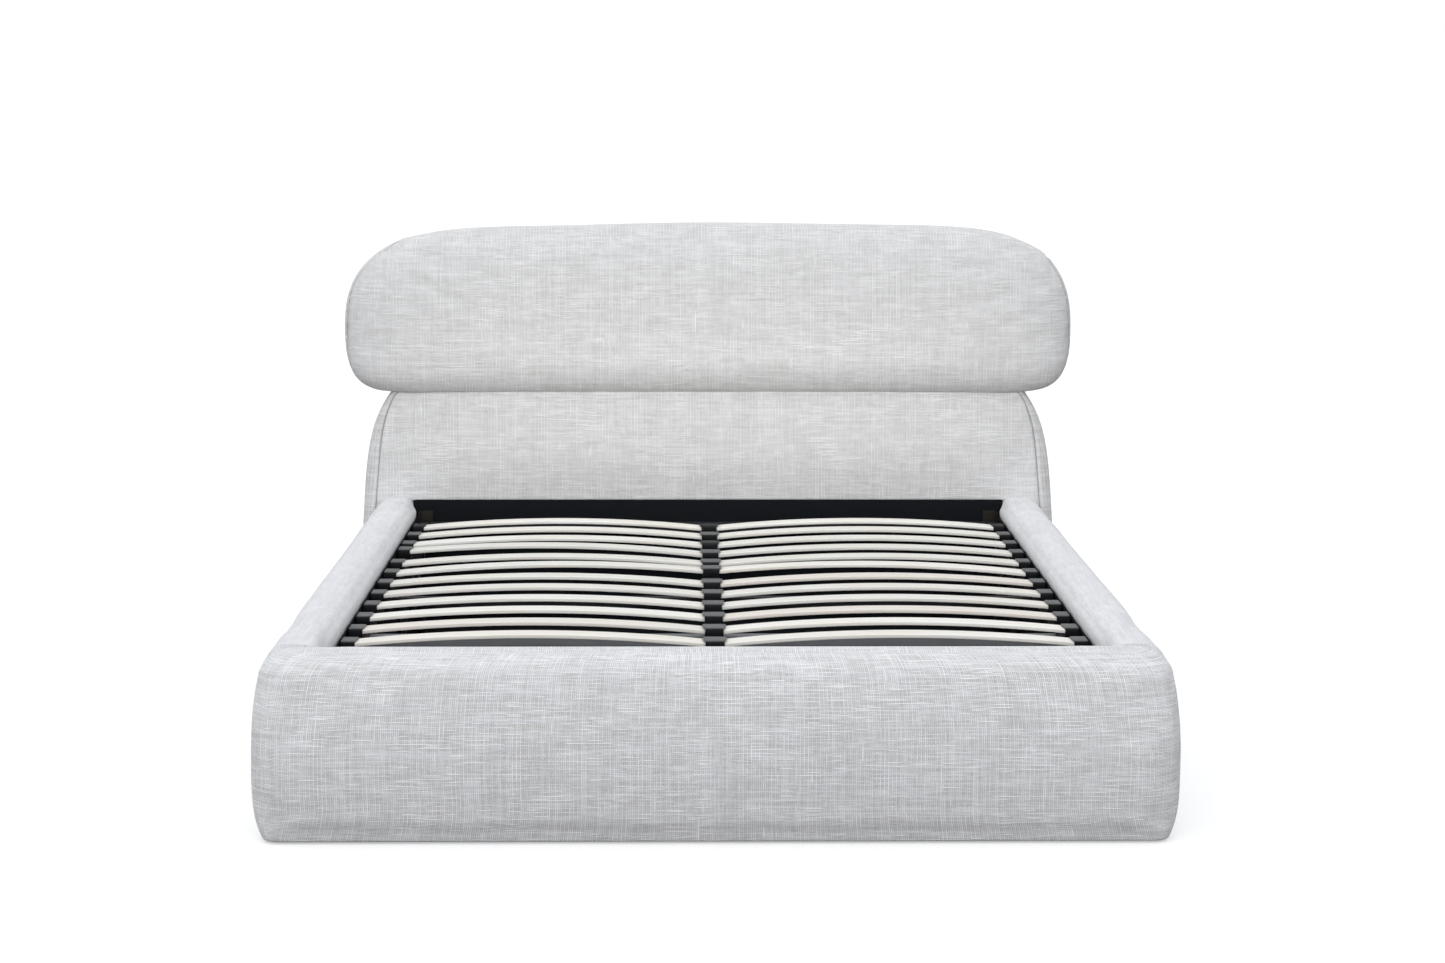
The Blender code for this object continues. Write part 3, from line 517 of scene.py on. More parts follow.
def seam_relief(distance, along):
    """Height over the plain skin near a seam: a groove, and small puckers beside it."""
    groove = -0.0035 * np.exp(-(distance / 0.0026) ** 2)
    shoulder = 0.0008 * np.exp(-((np.abs(distance) - 0.010) / 0.006) ** 2)
    wave = np.sin(2 * math.pi * along / 0.026 + 1.7 * np.sin(2 * math.pi * along / 0.17))
    swell = 0.55 + 0.45 * np.sin(2 * math.pi * along / 0.41 + 1.0)
    fade = np.exp(-(np.abs(distance) - 0.006) / 0.016) * (np.abs(distance) > 0.001)
    return groove + shoulder + 0.0009 * wave * swell * np.minimum(fade, 1.0)


# Painted shade across a seam: 1 at its middle, fading to the sides.
def seam_shade_profile(distance, width=0.0016):
    return np.exp(-(distance / width) ** 2)


def pad_swell(z, low_power=4.8):
    """0 at the floor and at the rail's top, 1 at mid height, and fuller below."""
    middle = RAIL_TOP / 2
    off = np.abs(z - middle) / middle
    return np.maximum(0.0, 1.0 - off ** np.where(z < middle, low_power, 2.0))


LOW_RADIUS = 0.0045         # rounding of the lowest edges


def soft_edge(z, wide, high):
    """How far a side draws in under a rail's top that is rounded wide across and high down."""
    over = np.clip((z - RAIL_TOP + high) / high, 0.0, 1.0)
    return wide * (1 - np.sqrt(1 - over ** 2))


def edge_inset(z, high_radius=0.0):
    """How far a side draws in where its lowest and highest edges are rounded."""
    over = np.clip(z - (RAIL_TOP - high_radius), 0.0, high_radius)
    under = np.clip(FLOOR_LIFT + LOW_RADIUS - z, 0.0, LOW_RADIUS)
    return (high_radius - np.sqrt(high_radius ** 2 - over ** 2)
            + LOW_RADIUS - np.sqrt(LOW_RADIUS ** 2 - under ** 2))


def spread(low, high, pitch):
    """Evenly spaced values from low to high, about pitch apart."""
    return np.linspace(low, high, max(2, round((high - low) / pitch) + 1))


def arc(x, y, radius, angles, quarter=0, along=None):
    """Points of an arc round (x, y), whose angles are counted from the start of this quarter.

    along is the radius along y, where it differs.
    """
    turned = angles + quarter * math.pi / 2
    return list(zip(x + radius * np.cos(turned), y + (along or radius) * np.sin(turned)))


def rail_heights(high_radius):
    """Ring heights of rails and footboard, closer together where the edges are rounded."""
    turn = np.radians(spread(0, 90, 7.5))
    low = FLOOR_LIFT + LOW_RADIUS * (1 - np.cos(turn[::2]))
    high = RAIL_TOP - high_radius * (1 - np.sin(turn))
    step = [BOARD_TOP - 0.0002, BOARD_TOP + 0.0008]
    middle = spread(low[-1], high[0], 0.011)[1:-1]
    middle = middle[np.abs(middle - BOARD_TOP) > 0.003]
    return np.unique(np.concatenate([low, middle, step, high]).round(6))


def along_path(points):
    """Distance along a line of points, from its first one."""
    steps = np.linalg.norm(np.diff(points, axis=0), axis=1)
    return np.concatenate([[0.0], np.cumsum(steps)])


CAP_SHARES = np.linspace(0.0, 1.0, 8)[1:]
CAPS = len(CAP_SHARES)
TOP_CROWN = 0.004


def cap_rings(ring, targets, rise=0.0):
    """Rings that draw in from an outline to its targets on a middle line, with a soft crown."""
    drawn = []
    for share in CAP_SHARES:
        level = ring + (targets - ring) * share
        level[:, 2] = ring[:, 2] + rise * (1 - (1 - share) ** 2)
        drawn.append(level)
    return drawn


def capped(rings, targets):
    """The rings with a flat cap below and a crowned one on top."""
    low, high = rings[0], rings[-1]
    return np.array(cap_rings(low, targets(low))[::-1] + rings
                    + cap_rings(high, targets(high), TOP_CROWN))


FOOT_CORNER, LOW_CORNER = 0.070, 0.030      # plan radius of the front corners, and at the floor
CORNER_RISE = 0.090                         # height over which the corner widens
BACK_CORNER = 0.010
FOOT_ROOM = HALF_WIDTH + GAP                # half the width of the step over the inner board
FOOT_REACH = HALF_WIDTH + FOOT_SIDE - FOOT_CORNER
# Rounding of the top edges at the ends and the front, and across and down at the back
END_EDGE, FRONT_EDGE, BACK_EDGE_WIDE, BACK_EDGE_HIGH = 0.042, 0.034, 0.016, 0.024


def footboard_ring(z, xs, corner_angles, back_angles, sides):
    """Plan outline of the footboard at one height, from its back left corner anticlockwise."""
    half = HALF_WIDTH + FOOT_SIDE + PAD_BULGE * pad_swell(z) - edge_inset(z, END_EDGE)
    front = (RECESS_FOOT - FOOT_THICK - FOOT_BULGE * pad_swell(z, 2.3)
             + edge_inset(z, FRONT_EDGE))
    back = RECESS_FOOT - soft_edge(z, BACK_EDGE_WIDE, BACK_EDGE_HIGH)
    tightness = max(0.0, 1.0 - (z - FLOOR_LIFT) / CORNER_RISE) ** 2
    corner = FOOT_CORNER + (LOW_CORNER - FOOT_CORNER) * tightness
    side_start = back - BACK_CORNER
    left = arc(BACK_CORNER - half, side_start, BACK_CORNER, back_angles, 1)
    left += [(-half, y) for y in side_start + (front + corner - side_start) * sides]
    left += arc(corner - half, front + corner, corner, corner_angles, 2)
    outline = left + [(x / FOOT_REACH * (half - corner), front) for x in xs]
    outline += [(-x, y) for x, y in reversed(left)]
    recessed = RECESS_FOOT - BOARD if z < BOARD_TOP else back
    outline += [(x, recessed if abs(x) < FOOT_ROOM else back) for x in reversed(xs)]
    return np.array([(x, y, z) for x, y in outline])


def make_footboard():
    """Padded footboard across the full width, swollen to the front and to both sides."""
    step = 0.0006               # half the width of the step's side
    inside = spread(step - FOOT_ROOM, FOOT_ROOM - step, 0.012)
    xs = np.concatenate([[-FOOT_REACH, -FOOT_ROOM - step], inside, [FOOT_ROOM + step, FOOT_REACH]])
    corner_angles = np.radians(spread(0, 90, 10))[1:-1]
    back_angles = np.radians(spread(0, 90, 22.5))[:-1]
    sides = np.linspace(0.0, 1.0, 8)
    heights = rail_heights(END_EDGE)
    rings = [footboard_ring(z, xs, corner_angles, back_angles, sides) for z in heights]
    front_y, back_y = rings[-1][:, 1].min(), rings[-1][:, 1].max()
    middle_y = (front_y + back_y) / 2
    end_x = FOOT_REACH - 0.02
    rings = capped(rings, lambda ring: stacked(np.clip(ring[:, 0], -end_x, end_x), middle_y,
                                               ring[:, 2]))
    count = rings.shape[1]
    front_start = len(back_angles) + len(sides) + len(corner_angles)
    back_start = count - len(xs)
    top_level = CAPS + len(heights) - 1

    # Cloth wraps round the front corners, and goes over the top to the back.
    closed = close_rings(rings)
    around = along_path(closed[CAPS + len(heights) // 2])
    around -= (around[front_start] + around[front_start + len(xs) - 1]) / 2
    up = along_path(rings[CAPS:top_level + 1, front_start + len(xs) // 2])
    wrap = stacked(around, np.interp(closed[..., 2], heights, up))
    wrap[:, back_start:, 0] = closed[:, back_start:, 0]
    flat = stacked(closed[..., 0], up[-1] + closed[..., 1] - front_y)
    flat[:top_level, back_start:, 1] += RAIL_TOP - closed[:top_level, back_start:, 2]
    chosen = np.zeros((len(rings) - 1, count), dtype=int)
    chosen[top_level:] = 1
    chosen[:, back_start:] = 1

    def held(points):
        _, y, z = points.T
        back = fading(RECESS_FOOT - y, 0.012, 0.030) * fading(z - BOARD_TOP, 0.004, 0.030)
        return np.maximum(back, fading(z, 0.012, 0.040))

    centre = stacked(np.clip(rings[..., 0], -end_x, end_x), middle_y, RAIL_TOP / 2)
    rings = settle("footboard", rings, centre, held)
    add_cover("footboard_cover", "footboard", rings, [wrap, flat], chosen, CLOTH)


# Rounding of a rail's top edges: across on its outer and inner side, and down
OUTER_EDGE_WIDE, INNER_EDGE_WIDE, RAIL_EDGE_HIGH = 0.030, 0.027, 0.038
TOP_RIM = 0.001
RAIL_END_RADIUS = 0.030
NOSE_FLARE, NOSE_LENGTH, NOSE_RISE = 0.004, 0.150, 0.005


def rail_ring(side, z, ys, end_angles, across):
    """Plan outline of a side rail at one height, seen from above, from its inner foot corner."""
    edge = soft_edge(z, OUTER_EDGE_WIDE, RAIL_EDGE_HIGH)
    outer = HALF_WIDTH + RAIL_THICK + PAD_BULGE * pad_swell(z) - edge_inset(z, TOP_RIM) - edge
    inner = (HALF_WIDTH + (BOARD if z < BOARD_TOP else COVER_BACK)
             + soft_edge(z, INNER_EDGE_WIDE, RAIL_EDGE_HIGH))
    head, foot = RECESS_HEAD - GAP - edge, RECESS_FOOT + GAP
    radius = min(RAIL_END_RADIUS, (outer - inner) * 0.47)
    round_start = head - radius
    share = (ys - ys[0]) / (ys[-1] - ys[0])
    outline = [(inner + (outer - inner) * s, foot) for s in across]
    outline += [(outer, foot + (round_start - foot) * s) for s in share[1:]]
    outline += arc(outer - radius, round_start, radius, end_angles)
    outline += [(outer - radius + (inner + 2 * radius - outer) * s, head) for s in across[1:]]
    outline += arc(inner + radius, round_start, radius, end_angles, 1)
    outline += [(inner, foot + (round_start - foot) * s) for s in reversed(share[1:-1])]
    x, y = np.array(outline).T
    nearness = np.clip(1 - (RECESS_HEAD - y) / NOSE_LENGTH, 0.0, 1.0) ** 2
    if z >= BOARD_TOP:
        x = x + NOSE_FLARE * nearness * (outer - x) / (outer - inner)
    rise = NOSE_RISE * nearness * np.clip((z - BOARD_TOP) / (RAIL_TOP - BOARD_TOP), 0.0, 1.0)
    return stacked(side * x, y, z + rise)


def make_side_rail(side, suffix):
    """Padded rail with a swollen outer face and a half-round head end."""
    ys = spread(RECESS_FOOT, RECESS_HEAD - 0.05, 0.012)
    end_angles = np.radians(spread(0, 90, 9))[1:]
    across = np.linspace(0.0, 1.0, 7)
    heights = rail_heights(RAIL_EDGE_HIGH)
    rings = [rail_ring(side, z, ys, end_angles, across) for z in heights]
    top_outer = np.abs(rings[-1][:, 0]).max()

    def targets(ring):
        low, high = np.abs(ring[:, 0]).min(), np.abs(ring[:, 0]).max()
        inward = (high - low) / 2
        y = np.clip(ring[:, 1], ring[:, 1].min() + inward, ring[:, 1].max() - inward)
        return stacked(side * (low + high) / 2, y, ring[:, 2])

    rings = capped(rings, targets)
    top_level = CAPS + len(heights) - 1
    outer_start = len(across)
    end_start = outer_start + len(ys) - 1 + len(end_angles)
    inner_start = end_start + len(across) - 1 + len(end_angles) - 1
    up = along_path(rings[CAPS:top_level + 1, outer_start + len(ys) // 2])
    x, y, z = np.moveaxis(close_rings(rings), -1, 0)
    x, high = np.abs(x), np.interp(z, heights, up)
    over_top = stacked(y, up[-1] + top_outer - x + np.maximum(0.0, RAIL_TOP - z))
    maps = [stacked(y, high), over_top, stacked(x + RECESS_HEAD, high)]
    chosen = np.zeros((len(rings) - 1, rings.shape[1]), dtype=int)
    chosen[:, :outer_start - 1] = chosen[:, end_start - 1:inner_start] = 2
    chosen[:, inner_start:] = 1
    chosen[top_level:] = 1

    def held(points):
        x, y, z = np.abs(points[:, 0]), points[:, 1], points[:, 2]
        inside = fading(x - HALF_WIDTH - BOARD, 0.002, 0.020) * fading(z - BOARD_TOP, 0.003, 0.025)
        return np.maximum.reduce([inside, fading(z, 0.012, 0.040),
                                  fading(y - RECESS_FOOT, 0.004, 0.030),
                                  fading(RECESS_HEAD - y, 0.004, 0.020)])

    centre = stacked(side * (HALF_WIDTH + RAIL_THICK / 2),
                     np.clip(rings[..., 1], ys[0] + 0.05, ys[-1]), RAIL_TOP / 2)
    rings = settle("side_rail_" + suffix, rings, centre, held)
    add_cover("side_rail_cover_" + suffix, "side_rail_" + suffix, rings, maps, chosen, RAIL_CLOTH_PAINTED_LIGHT)


# Headboard roll
ROLL_Y = (ROLL_LOW.y + ROLL_HIGH.y) / 2
ROLL_HALF_WIDTH = ROLL_HIGH.x + 0.005       # the cover lies a little over the filling
ROLL_HALF_DEPTH = (ROLL_HIGH.y - ROLL_LOW.y) / 2
ROLL_SEAM_SHADE_WIDTH = 0.0036        # its end seams are wider than the panel's, and so is their painted shade
STRIP_HALF = 0.049          # half the width of the strip sewn into each end of the roll
LOW_END_POWER, HIGH_END_POWER, POWER_SKEW = 25.0, 6.7, 0.5
LOW_CROWN_POWER, HIGH_CROWN_POWER = 2.1, 2.4
LOW_SECTION_POWER, HIGH_SECTION_POWER = 4.0, 2.6
LEFT_SAG, RIGHT_SAG = 0.0085, 0.0050        # how far the top line drops between middle and end
ROLL_POINTS, ROLL_LEVELS = 216, 150         # points round the roll, and rings along its body


def end_power(side, turn):
    """How square the roll's end is, on one side (1 right, -1 left) and at a turn round it."""
    high = HIGH_END_POWER + POWER_SKEW * side
    return LOW_END_POWER + (high - LOW_END_POWER) * ((1 + np.sin(turn)) / 2) ** 0.7


def roll_surface(polar, turn):
    """The roll's skin. polar is 0 at its right end and pi at its left, turn goes round it."""
    sine, cosine = np.sin(turn), np.cos(turn)
    across = np.cos(polar)
    crown_power = LOW_CROWN_POWER + (HIGH_CROWN_POWER - LOW_CROWN_POWER) * (1 + sine) / 2
    height = np.where(sine > 0, ROLL_HIGH.z - ROLL_WIDEST, ROLL_WIDEST - ROLL_LOW.z)
    section = np.where(sine > 0, HIGH_SECTION_POWER, LOW_SECTION_POWER)
    ring = np.sin(polar) ** (2 / crown_power)
    reach = np.abs(across) ** (2 / end_power(np.sign(across), turn))
    x = ROLL_HALF_WIDTH * np.sign(across) * reach
    y = ROLL_Y + ROLL_HALF_DEPTH * ring * np.sign(cosine) * np.abs(cosine) ** (2 / section)
    z = ROLL_WIDEST + height * ring * np.sign(sine) * np.abs(sine) ** (2 / section)
    sag = np.where(across > 0, RIGHT_SAG, LEFT_SAG)
    sag = sag * np.sin(math.pi * np.minimum(np.abs(x) / ROLL_HALF_WIDTH, 1.0)) ** 2
    return stacked(x, y, z - sag * np.maximum(sine, 0.0) ** 2)


def roll_polar(x, turn):
    """The polar angle at which the skin has this x, for each turn."""
    across = (np.abs(x) / ROLL_HALF_WIDTH) ** (end_power(np.sign(x), turn) / 2)
    return np.arccos(np.sign(x) * across)


def roll_end_arc():
    """The right end's outline seen from the front: its angle about a point, and its length."""
    share = np.linspace(-1, 1, 801)
    turns = np.where(share < 0, -math.pi / 2, math.pi / 2)
    outline = roll_surface(np.abs(share) * math.pi / 2, turns)
    angle = np.arctan2(outline[:, 2] - ROLL_WIDEST, outline[:, 0] - ROLL_END_CENTRE)
    length = along_path(outline)
    order = np.argsort(angle)
    return angle[order], (length - length[len(share) // 2])[order]


ROLL_END_CENTRE = ROLL_HALF_WIDTH - 0.20
END_ANGLES, END_LENGTHS = roll_end_arc()


def end_place(points):
    """Where points lie along the strip at the roll's end, from its widest place up."""
    angle = np.arctan2(points[..., 2] - ROLL_WIDEST, np.abs(points[..., 0]) - ROLL_END_CENTRE)
    return np.interp(angle, END_ANGLES, END_LENGTHS)


def strip_distance(points, top_place, low_place):
    """Signed distance from the seam round the end strip, negative on the strip."""
    place = end_place(points)
    beyond = np.maximum(place - (top_place - STRIP_HALF), (low_place + STRIP_HALF) - place)
    return np.hypot(points[..., 1] - ROLL_Y, np.maximum(beyond, 0.0)) - STRIP_HALF


def seam_polar(turns, top_place, low_place):
    """For each turn, the polar angle at which the right end's seam crosses it."""
    low, high = np.zeros_like(turns), np.full_like(turns, math.pi / 2)
    for _ in range(40):
        middle = (low + high) / 2
        inside = strip_distance(roll_surface(middle, turns), top_place, low_place) < 0
        low, high = np.where(inside, middle, low), np.where(inside, high, middle)
    return (low + high) / 2


# Where each end strip starts at the top and ends below, as (x, z) seen from the front
STRIP_ENDS = {"right": ((0.905, 1.020), (0.885, 0.660)),
              "left": ((0.842, 1.055), (0.860, 0.658))}
# Steps of the polar angle beside a seam, on the body's side and on the strip's
BODY_STEPS = np.array([0.0015, 0.003, 0.006, 0.011, 0.018]) * 1.9
STRIP_STEPS = BODY_STEPS[:3] * 0.5


def make_roll():
    """The roll on the headboard: one cloth round it, and a strip sewn into each end."""
    places = {key: [end_place(np.array([x, 0.0, z])) for x, z in ends]
              for key, ends in STRIP_ENDS.items()}
    fine = np.linspace(0, 2 * math.pi, 2881)
    length = along_path(roll_surface(seam_polar(fine, *places["right"]), fine))
    seam_place = np.linspace(0, length[-1], ROLL_POINTS + 1)[:-1]
    turns = np.interp(seam_place, length, fine)
    strip_shares = np.linspace(0.0, 1.0, 12)[1:-1] ** 0.87

    def end_levels(seam):
        """Polar angles from an end's pole to a little beyond its seam."""
        return ([seam * 0.002] + [seam * share for share in strip_shares]
                + [seam - step for step in STRIP_STEPS[::-1]] + [seam]
                + [seam + step for step in BODY_STEPS])

    right_end = end_levels(seam_polar(turns, *places["right"]))
    left_end = [math.pi - level for level in end_levels(seam_polar(turns, *places["left"]))[::-1]]
    first, last = (roll_surface(level, turns)[:, 0] for level in (right_end[-1], left_end[0]))
    body = [roll_polar(first + (last - first) * share, turns)
            for share in np.linspace(0.0, 1.0, ROLL_LEVELS)[1:-1]]
    rings = roll_surface(np.array(right_end + body + left_end), turns[None, :])
    levels = len(rings)
    seam_right = 1 + len(strip_shares) + len(STRIP_STEPS)
    seam_left = levels - 1 - seam_right

    lengthwise = np.stack([along_path(rings[:, k]) for k in range(ROLL_POINTS)], axis=1)
    middle = levels // 2
    closed = close_rings(rings)
    across = np.concatenate([lengthwise, lengthwise[:, :1]], axis=1)
    across = across - across[middle] - closed[middle, :, 0]
    front = int(np.argmin(np.abs(turns - math.pi)))
    section = np.stack([along_path(ring[:, 1:]) for ring in closed])
    wrap = stacked(-across, section[:, front:front + 1] - section)
    strip = stacked(closed[..., 1] + 5.0, end_place(closed))
    chosen = np.zeros((levels - 1, ROLL_POINTS), dtype=int)
    chosen[:seam_right] = chosen[seam_left:] = 1

    def held(points):
        off_seam = np.where(points[:, 0] > 0, strip_distance(points, *places["right"]),
                            strip_distance(points, *places["left"]))
        under = fading(np.abs(points[:, 1] - ROLL_Y) - PANEL_THICK / 2, 0.0, 0.02)
        under *= fading(points[:, 2] - ROLL_LOW.z, 0.010, 0.030)
        return np.maximum(fading(np.abs(off_seam), 0.005, 0.016), under)

    centre = np.array([0.0, ROLL_Y, ROLL_WIDEST]) + rings * np.array([0.9, 0.0, 0.0])
    rings = settle("roll", rings, centre, held)
    normals = surface_normals(rings, centre)
    # Painted shade at the bottom of both end seams, for the cloth's colour.
    groove = np.zeros(rings.shape[:2])
    for seam in (seam_right, seam_left):
        distance = lengthwise - lengthwise[seam]
        rings += normals * seam_relief(distance, seam_place[None, :])[..., None]
        groove += seam_shade_profile(distance, ROLL_SEAM_SHADE_WIDTH)
    add_cover("roll_cover", "headboard_bolster", rings, [wrap, strip], chosen, HEAD_CLOTH_PAINTED_LIGHT, groove)


def roll_underside(x, y):
    """Height of the roll's skin over a point of the panel."""
    depth = np.clip(np.abs(y - ROLL_Y) / ROLL_HALF_DEPTH, 0.0, 0.999)
    width = np.clip(np.abs(x) / ROLL_HALF_WIDTH, 0.0, 0.999)
    # At the roll's underside the ring shrinks only close to its ends.
    ring = np.sin(np.arccos(width ** (LOW_END_POWER / 2))) ** (2 / LOW_CROWN_POWER)
    inner = np.clip(depth / np.maximum(ring, 0.05), 0.0, 0.999)
    flatness = (1 - inner ** LOW_SECTION_POWER) ** (1 / LOW_SECTION_POWER)
    return ROLL_WIDEST - (ROLL_WIDEST - ROLL_LOW.z) * ring * flatness


# Lower headboard panel
PANEL_THICK = PANEL_BACK - RECESS_HEAD
PANEL_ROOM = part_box("head_board")[1].x + GAP
PANEL_EDGE = HEAD_BOARD_TOP + GAP           # height of the face's lower hem, over the board
PANEL_SWELL = 0.016         # how far the panel's face swells forward
FRONT_CORNER, REAR_CORNER = 0.036, 0.020
BEND_FROM = 0.56            # height over which the rings bend to the roll's underside
SEAM_POINTS = 60            # points on each side of a seam that it can shape
STRIP_PAINTED_SHADE = 0.05          # painted shade: the side strips, which face sideways, are coloured a little darker than the face


def panel_half_width(z):
    """Almost upright sides that curve in towards the roll."""
    rise = np.maximum(0.0, (z - 0.300) / (0.680 - 0.300))
    return 0.930 - 0.026 * rise - 0.069 * rise ** 4


def panel_seam_inset(z):
    """How far inside the outline the seam between the face and the side strip lies."""
    rise = np.clip((z - 0.42) / (0.64 - 0.42), 0.0, 1.0)
    return 0.036 - 0.016 * rise ** 1.8


def panel_face(x, z, front, seam_x):
    """Place of the face: it swells over the slats, and is flat along its sides and lower hem."""
    above_room = abs(x) < PANEL_ROOM
    if above_room and z < PANEL_EDGE:
        return RECESS_HEAD + BOARD + GAP
    rise = np.clip((z - PANEL_EDGE) / 0.13, 0.0, 1.0)
    hem = 0.004 * np.clip(1 - (z - PANEL_EDGE) / 0.006, 0.0, 1.0) ** 2 if above_room else 0.0
    return front + hem - PANEL_SWELL * rise ** 2 * (3 - 2 * rise) * (1 - np.abs(x / seam_x) ** 6)


def panel_ring(z, face_shares, angles):
    """Plan outline of the panel at one height, from the left end of its face."""
    inset = edge_inset(z)
    half = panel_half_width(z) - inset
    front, back = RECESS_HEAD + inset, PANEL_BACK - inset
    seam_x = half - panel_seam_inset(z)
    face = seam_x * face_shares
    points = [(x, panel_face(x, z, front, seam_x)) for x in face]
    side = arc(seam_x, front + FRONT_CORNER, half - seam_x, angles[1:], -1, FRONT_CORNER)
    side += [(half, y) for y in np.linspace(front + FRONT_CORNER, back - REAR_CORNER, 4)[1:-1]]
    side += arc(half - REAR_CORNER, back - REAR_CORNER, REAR_CORNER, angles)
    points += side
    points += [(x * (half - REAR_CORNER) / seam_x, back) for x in reversed(face[1:-1])]
    points += [(-x, y) for x, y in reversed(side)]
    return np.array([(x, y, z) for x, y in points])


def panel_heights():
    """Ring heights, closer together at the floor, at the lower hem and towards the roll."""
    low = FLOOR_LIFT + 0.012 * (1 - np.cos(np.radians(spread(0, 90, 22.5))))
    heights = np.concatenate([low, spread(0.016, 0.60, 0.011)[1:], spread(0.60, 0.66, 0.006)[1:]])
    heights = heights[np.abs(heights - PANEL_EDGE - 0.002) > 0.007]
    hem = PANEL_EDGE + np.array([-0.0004, 0.0008, 0.0018, 0.0035, 0.006])
    return np.unique(np.concatenate([heights, hem]))


def seam_distance(rings, seam):
    """Signed distance along each ring from one of its points, and 1 where that is far."""
    distance = np.full(rings.shape[:2], 1.0)
    rolled = np.roll(rings, -seam, axis=1)
    for own, ring in zip(distance, rolled):
        own[:SEAM_POINTS] = along_path(ring[:SEAM_POINTS])
        backward = along_path(np.roll(ring[::-1], 1, axis=0)[:SEAM_POINTS])
        own[1 - SEAM_POINTS:] = -backward[:0:-1]
    return np.roll(distance, seam, axis=1)


def make_panel():
    """Lower headboard panel: a face, a strip round each side, and a back."""
    near = np.array([0.0, 0.0015, 0.003, 0.006, 0.010, 0.016, 0.023]) / 0.9
    face_shares = np.concatenate([near - 1, spread(near[-1] - 1, 1 - near[-1], 0.016)[1:-1],
                                  1 - near[::-1]])
    angles = np.radians([0, 2.5, 5, 10, 17, 26, 38, 52, 70, 90])
    heights = panel_heights()
    rings = np.array([panel_ring(z, face_shares, angles) for z in heights])
    count = rings.shape[1]

    def ceiling(ring):
        return roll_underside(ring[:, 0], ring[:, 1]) - 0.001

    share = np.clip((heights - BEND_FROM) / (heights[-1] - BEND_FROM), 0.0, 1.0)
    rings[..., 2] += share[:, None] * (ceiling(rings[-1]) - heights[-1])

    def targets(ring, end_x):
        return stacked(np.clip(ring[:, 0], -end_x, end_x), (RECESS_HEAD + PANEL_BACK) / 2,
                       ring[:, 2])

    top_cap = cap_rings(rings[-1], targets(rings[-1], 0.80))
    for drawn in top_cap:
        drawn[:, 2] = ceiling(drawn)
    low_cap = cap_rings(rings[0], targets(rings[0], 0.86))[::-1]
    rings = np.array(low_cap + list(rings) + top_cap)
    x, y, z = np.moveaxis(close_rings(rings), -1, 0)
    maps = [stacked(x + 3.0, z), stacked(y + 7.0, z), stacked(x + 11.0, z)]
    side_start, side_count = len(face_shares), 2 * len(angles) + 1
    side_end = side_start + side_count
    chosen = np.zeros((len(rings) - 1, count), dtype=int)
    chosen[:, side_start - 1:side_end - 1] = chosen[:, count - side_count:] = 1
    chosen[:, side_end - 1:count - side_count] = 2

    def held(points):
        x, y, z = np.abs(points[:, 0]), points[:, 1], points[:, 2]
        seam_x = panel_half_width(z) - panel_seam_inset(z)
        seams = fading(np.abs(x - seam_x), 0.005, 0.014) * (y < RECESS_HEAD + 0.012)
        hem = fading(z - PANEL_EDGE, 0.003, 0.016) * (x < PANEL_ROOM + 0.02)
        return np.maximum.reduce([seams, hem, fading(PANEL_BACK - y, 0.004, 0.020),
                                  fading(z, 0.012, 0.030), fading(0.70 - z, 0.045, 0.060)])

    centre = stacked(np.clip(rings[..., 0], -0.85, 0.85), RECESS_HEAD + PANEL_THICK * 0.6,
                     np.clip(rings[..., 2], 0.05, 0.6))
    rings = settle("headboard_panel", rings, centre, held, start_in=0.002)
    normals = surface_normals(rings, centre)
    # Painted shade at the bottom of the seams, and on the side strips, for the cloth's colour.
    groove = np.zeros(rings.shape[:2])
    for seam in (0, side_start - 1):
        distance = seam_distance(rings, seam)
        rings += normals * seam_relief(distance, rings[..., 2] + seam)[..., None]
        groove += seam_shade_profile(distance)
    # Painted shade on the side strips, which face sideways.
    for strip in (slice(side_start, side_end), slice(-side_count, None)):
        groove[:, strip] = np.maximum(groove[:, strip], STRIP_PAINTED_SHADE)
    add_cover("headboard_panel_cover", "headboard_panel", rings, maps, chosen, HEAD_CLOTH_PAINTED_LIGHT, groove)


# Slats and their holders
SLAT_RADIUS = 0.0017        # rounding of a slat's edges
END_DEPTH = 0.006           # corners this close to a slat's end belong to it
UP = np.array([0.0, 0.0, 1.0])


def slat_outline():
    """Section of a slat as (across, up), from the middle of its underside, edges rounded."""
    reach, rise = SLAT_WIDTH / 2 - SLAT_RADIUS, SLAT_THICK / 2 - SLAT_RADIUS
    angles = np.radians(spread(0, 90, 22.5))
    points = [(0.0, -SLAT_THICK / 2)]
    for quarter, x, z in ((-1, reach, -rise), (0, reach, rise), (1, -reach, rise),
                          (2, -reach, -rise)):
        points += arc(x, z, SLAT_RADIUS, angles, quarter)
        if quarter == 0:
            points += [(SLAT_WIDTH / 6, SLAT_THICK / 2), (-SLAT_WIDTH / 6, SLAT_THICK / 2)]
    return np.array(points)


def slat_ends(name):
    """The middles of a slat's inner and outer end, from the corners of its CAD node."""
    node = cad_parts[name]
    corners = np.array([node.matrix_world @ vert.co for vert in node.data.vertices])
    reach = np.abs(corners[:, 0])
    return (corners[reach < reach.min() + END_DEPTH].mean(axis=0),
            corners[reach > reach.max() - END_DEPTH].mean(axis=0))


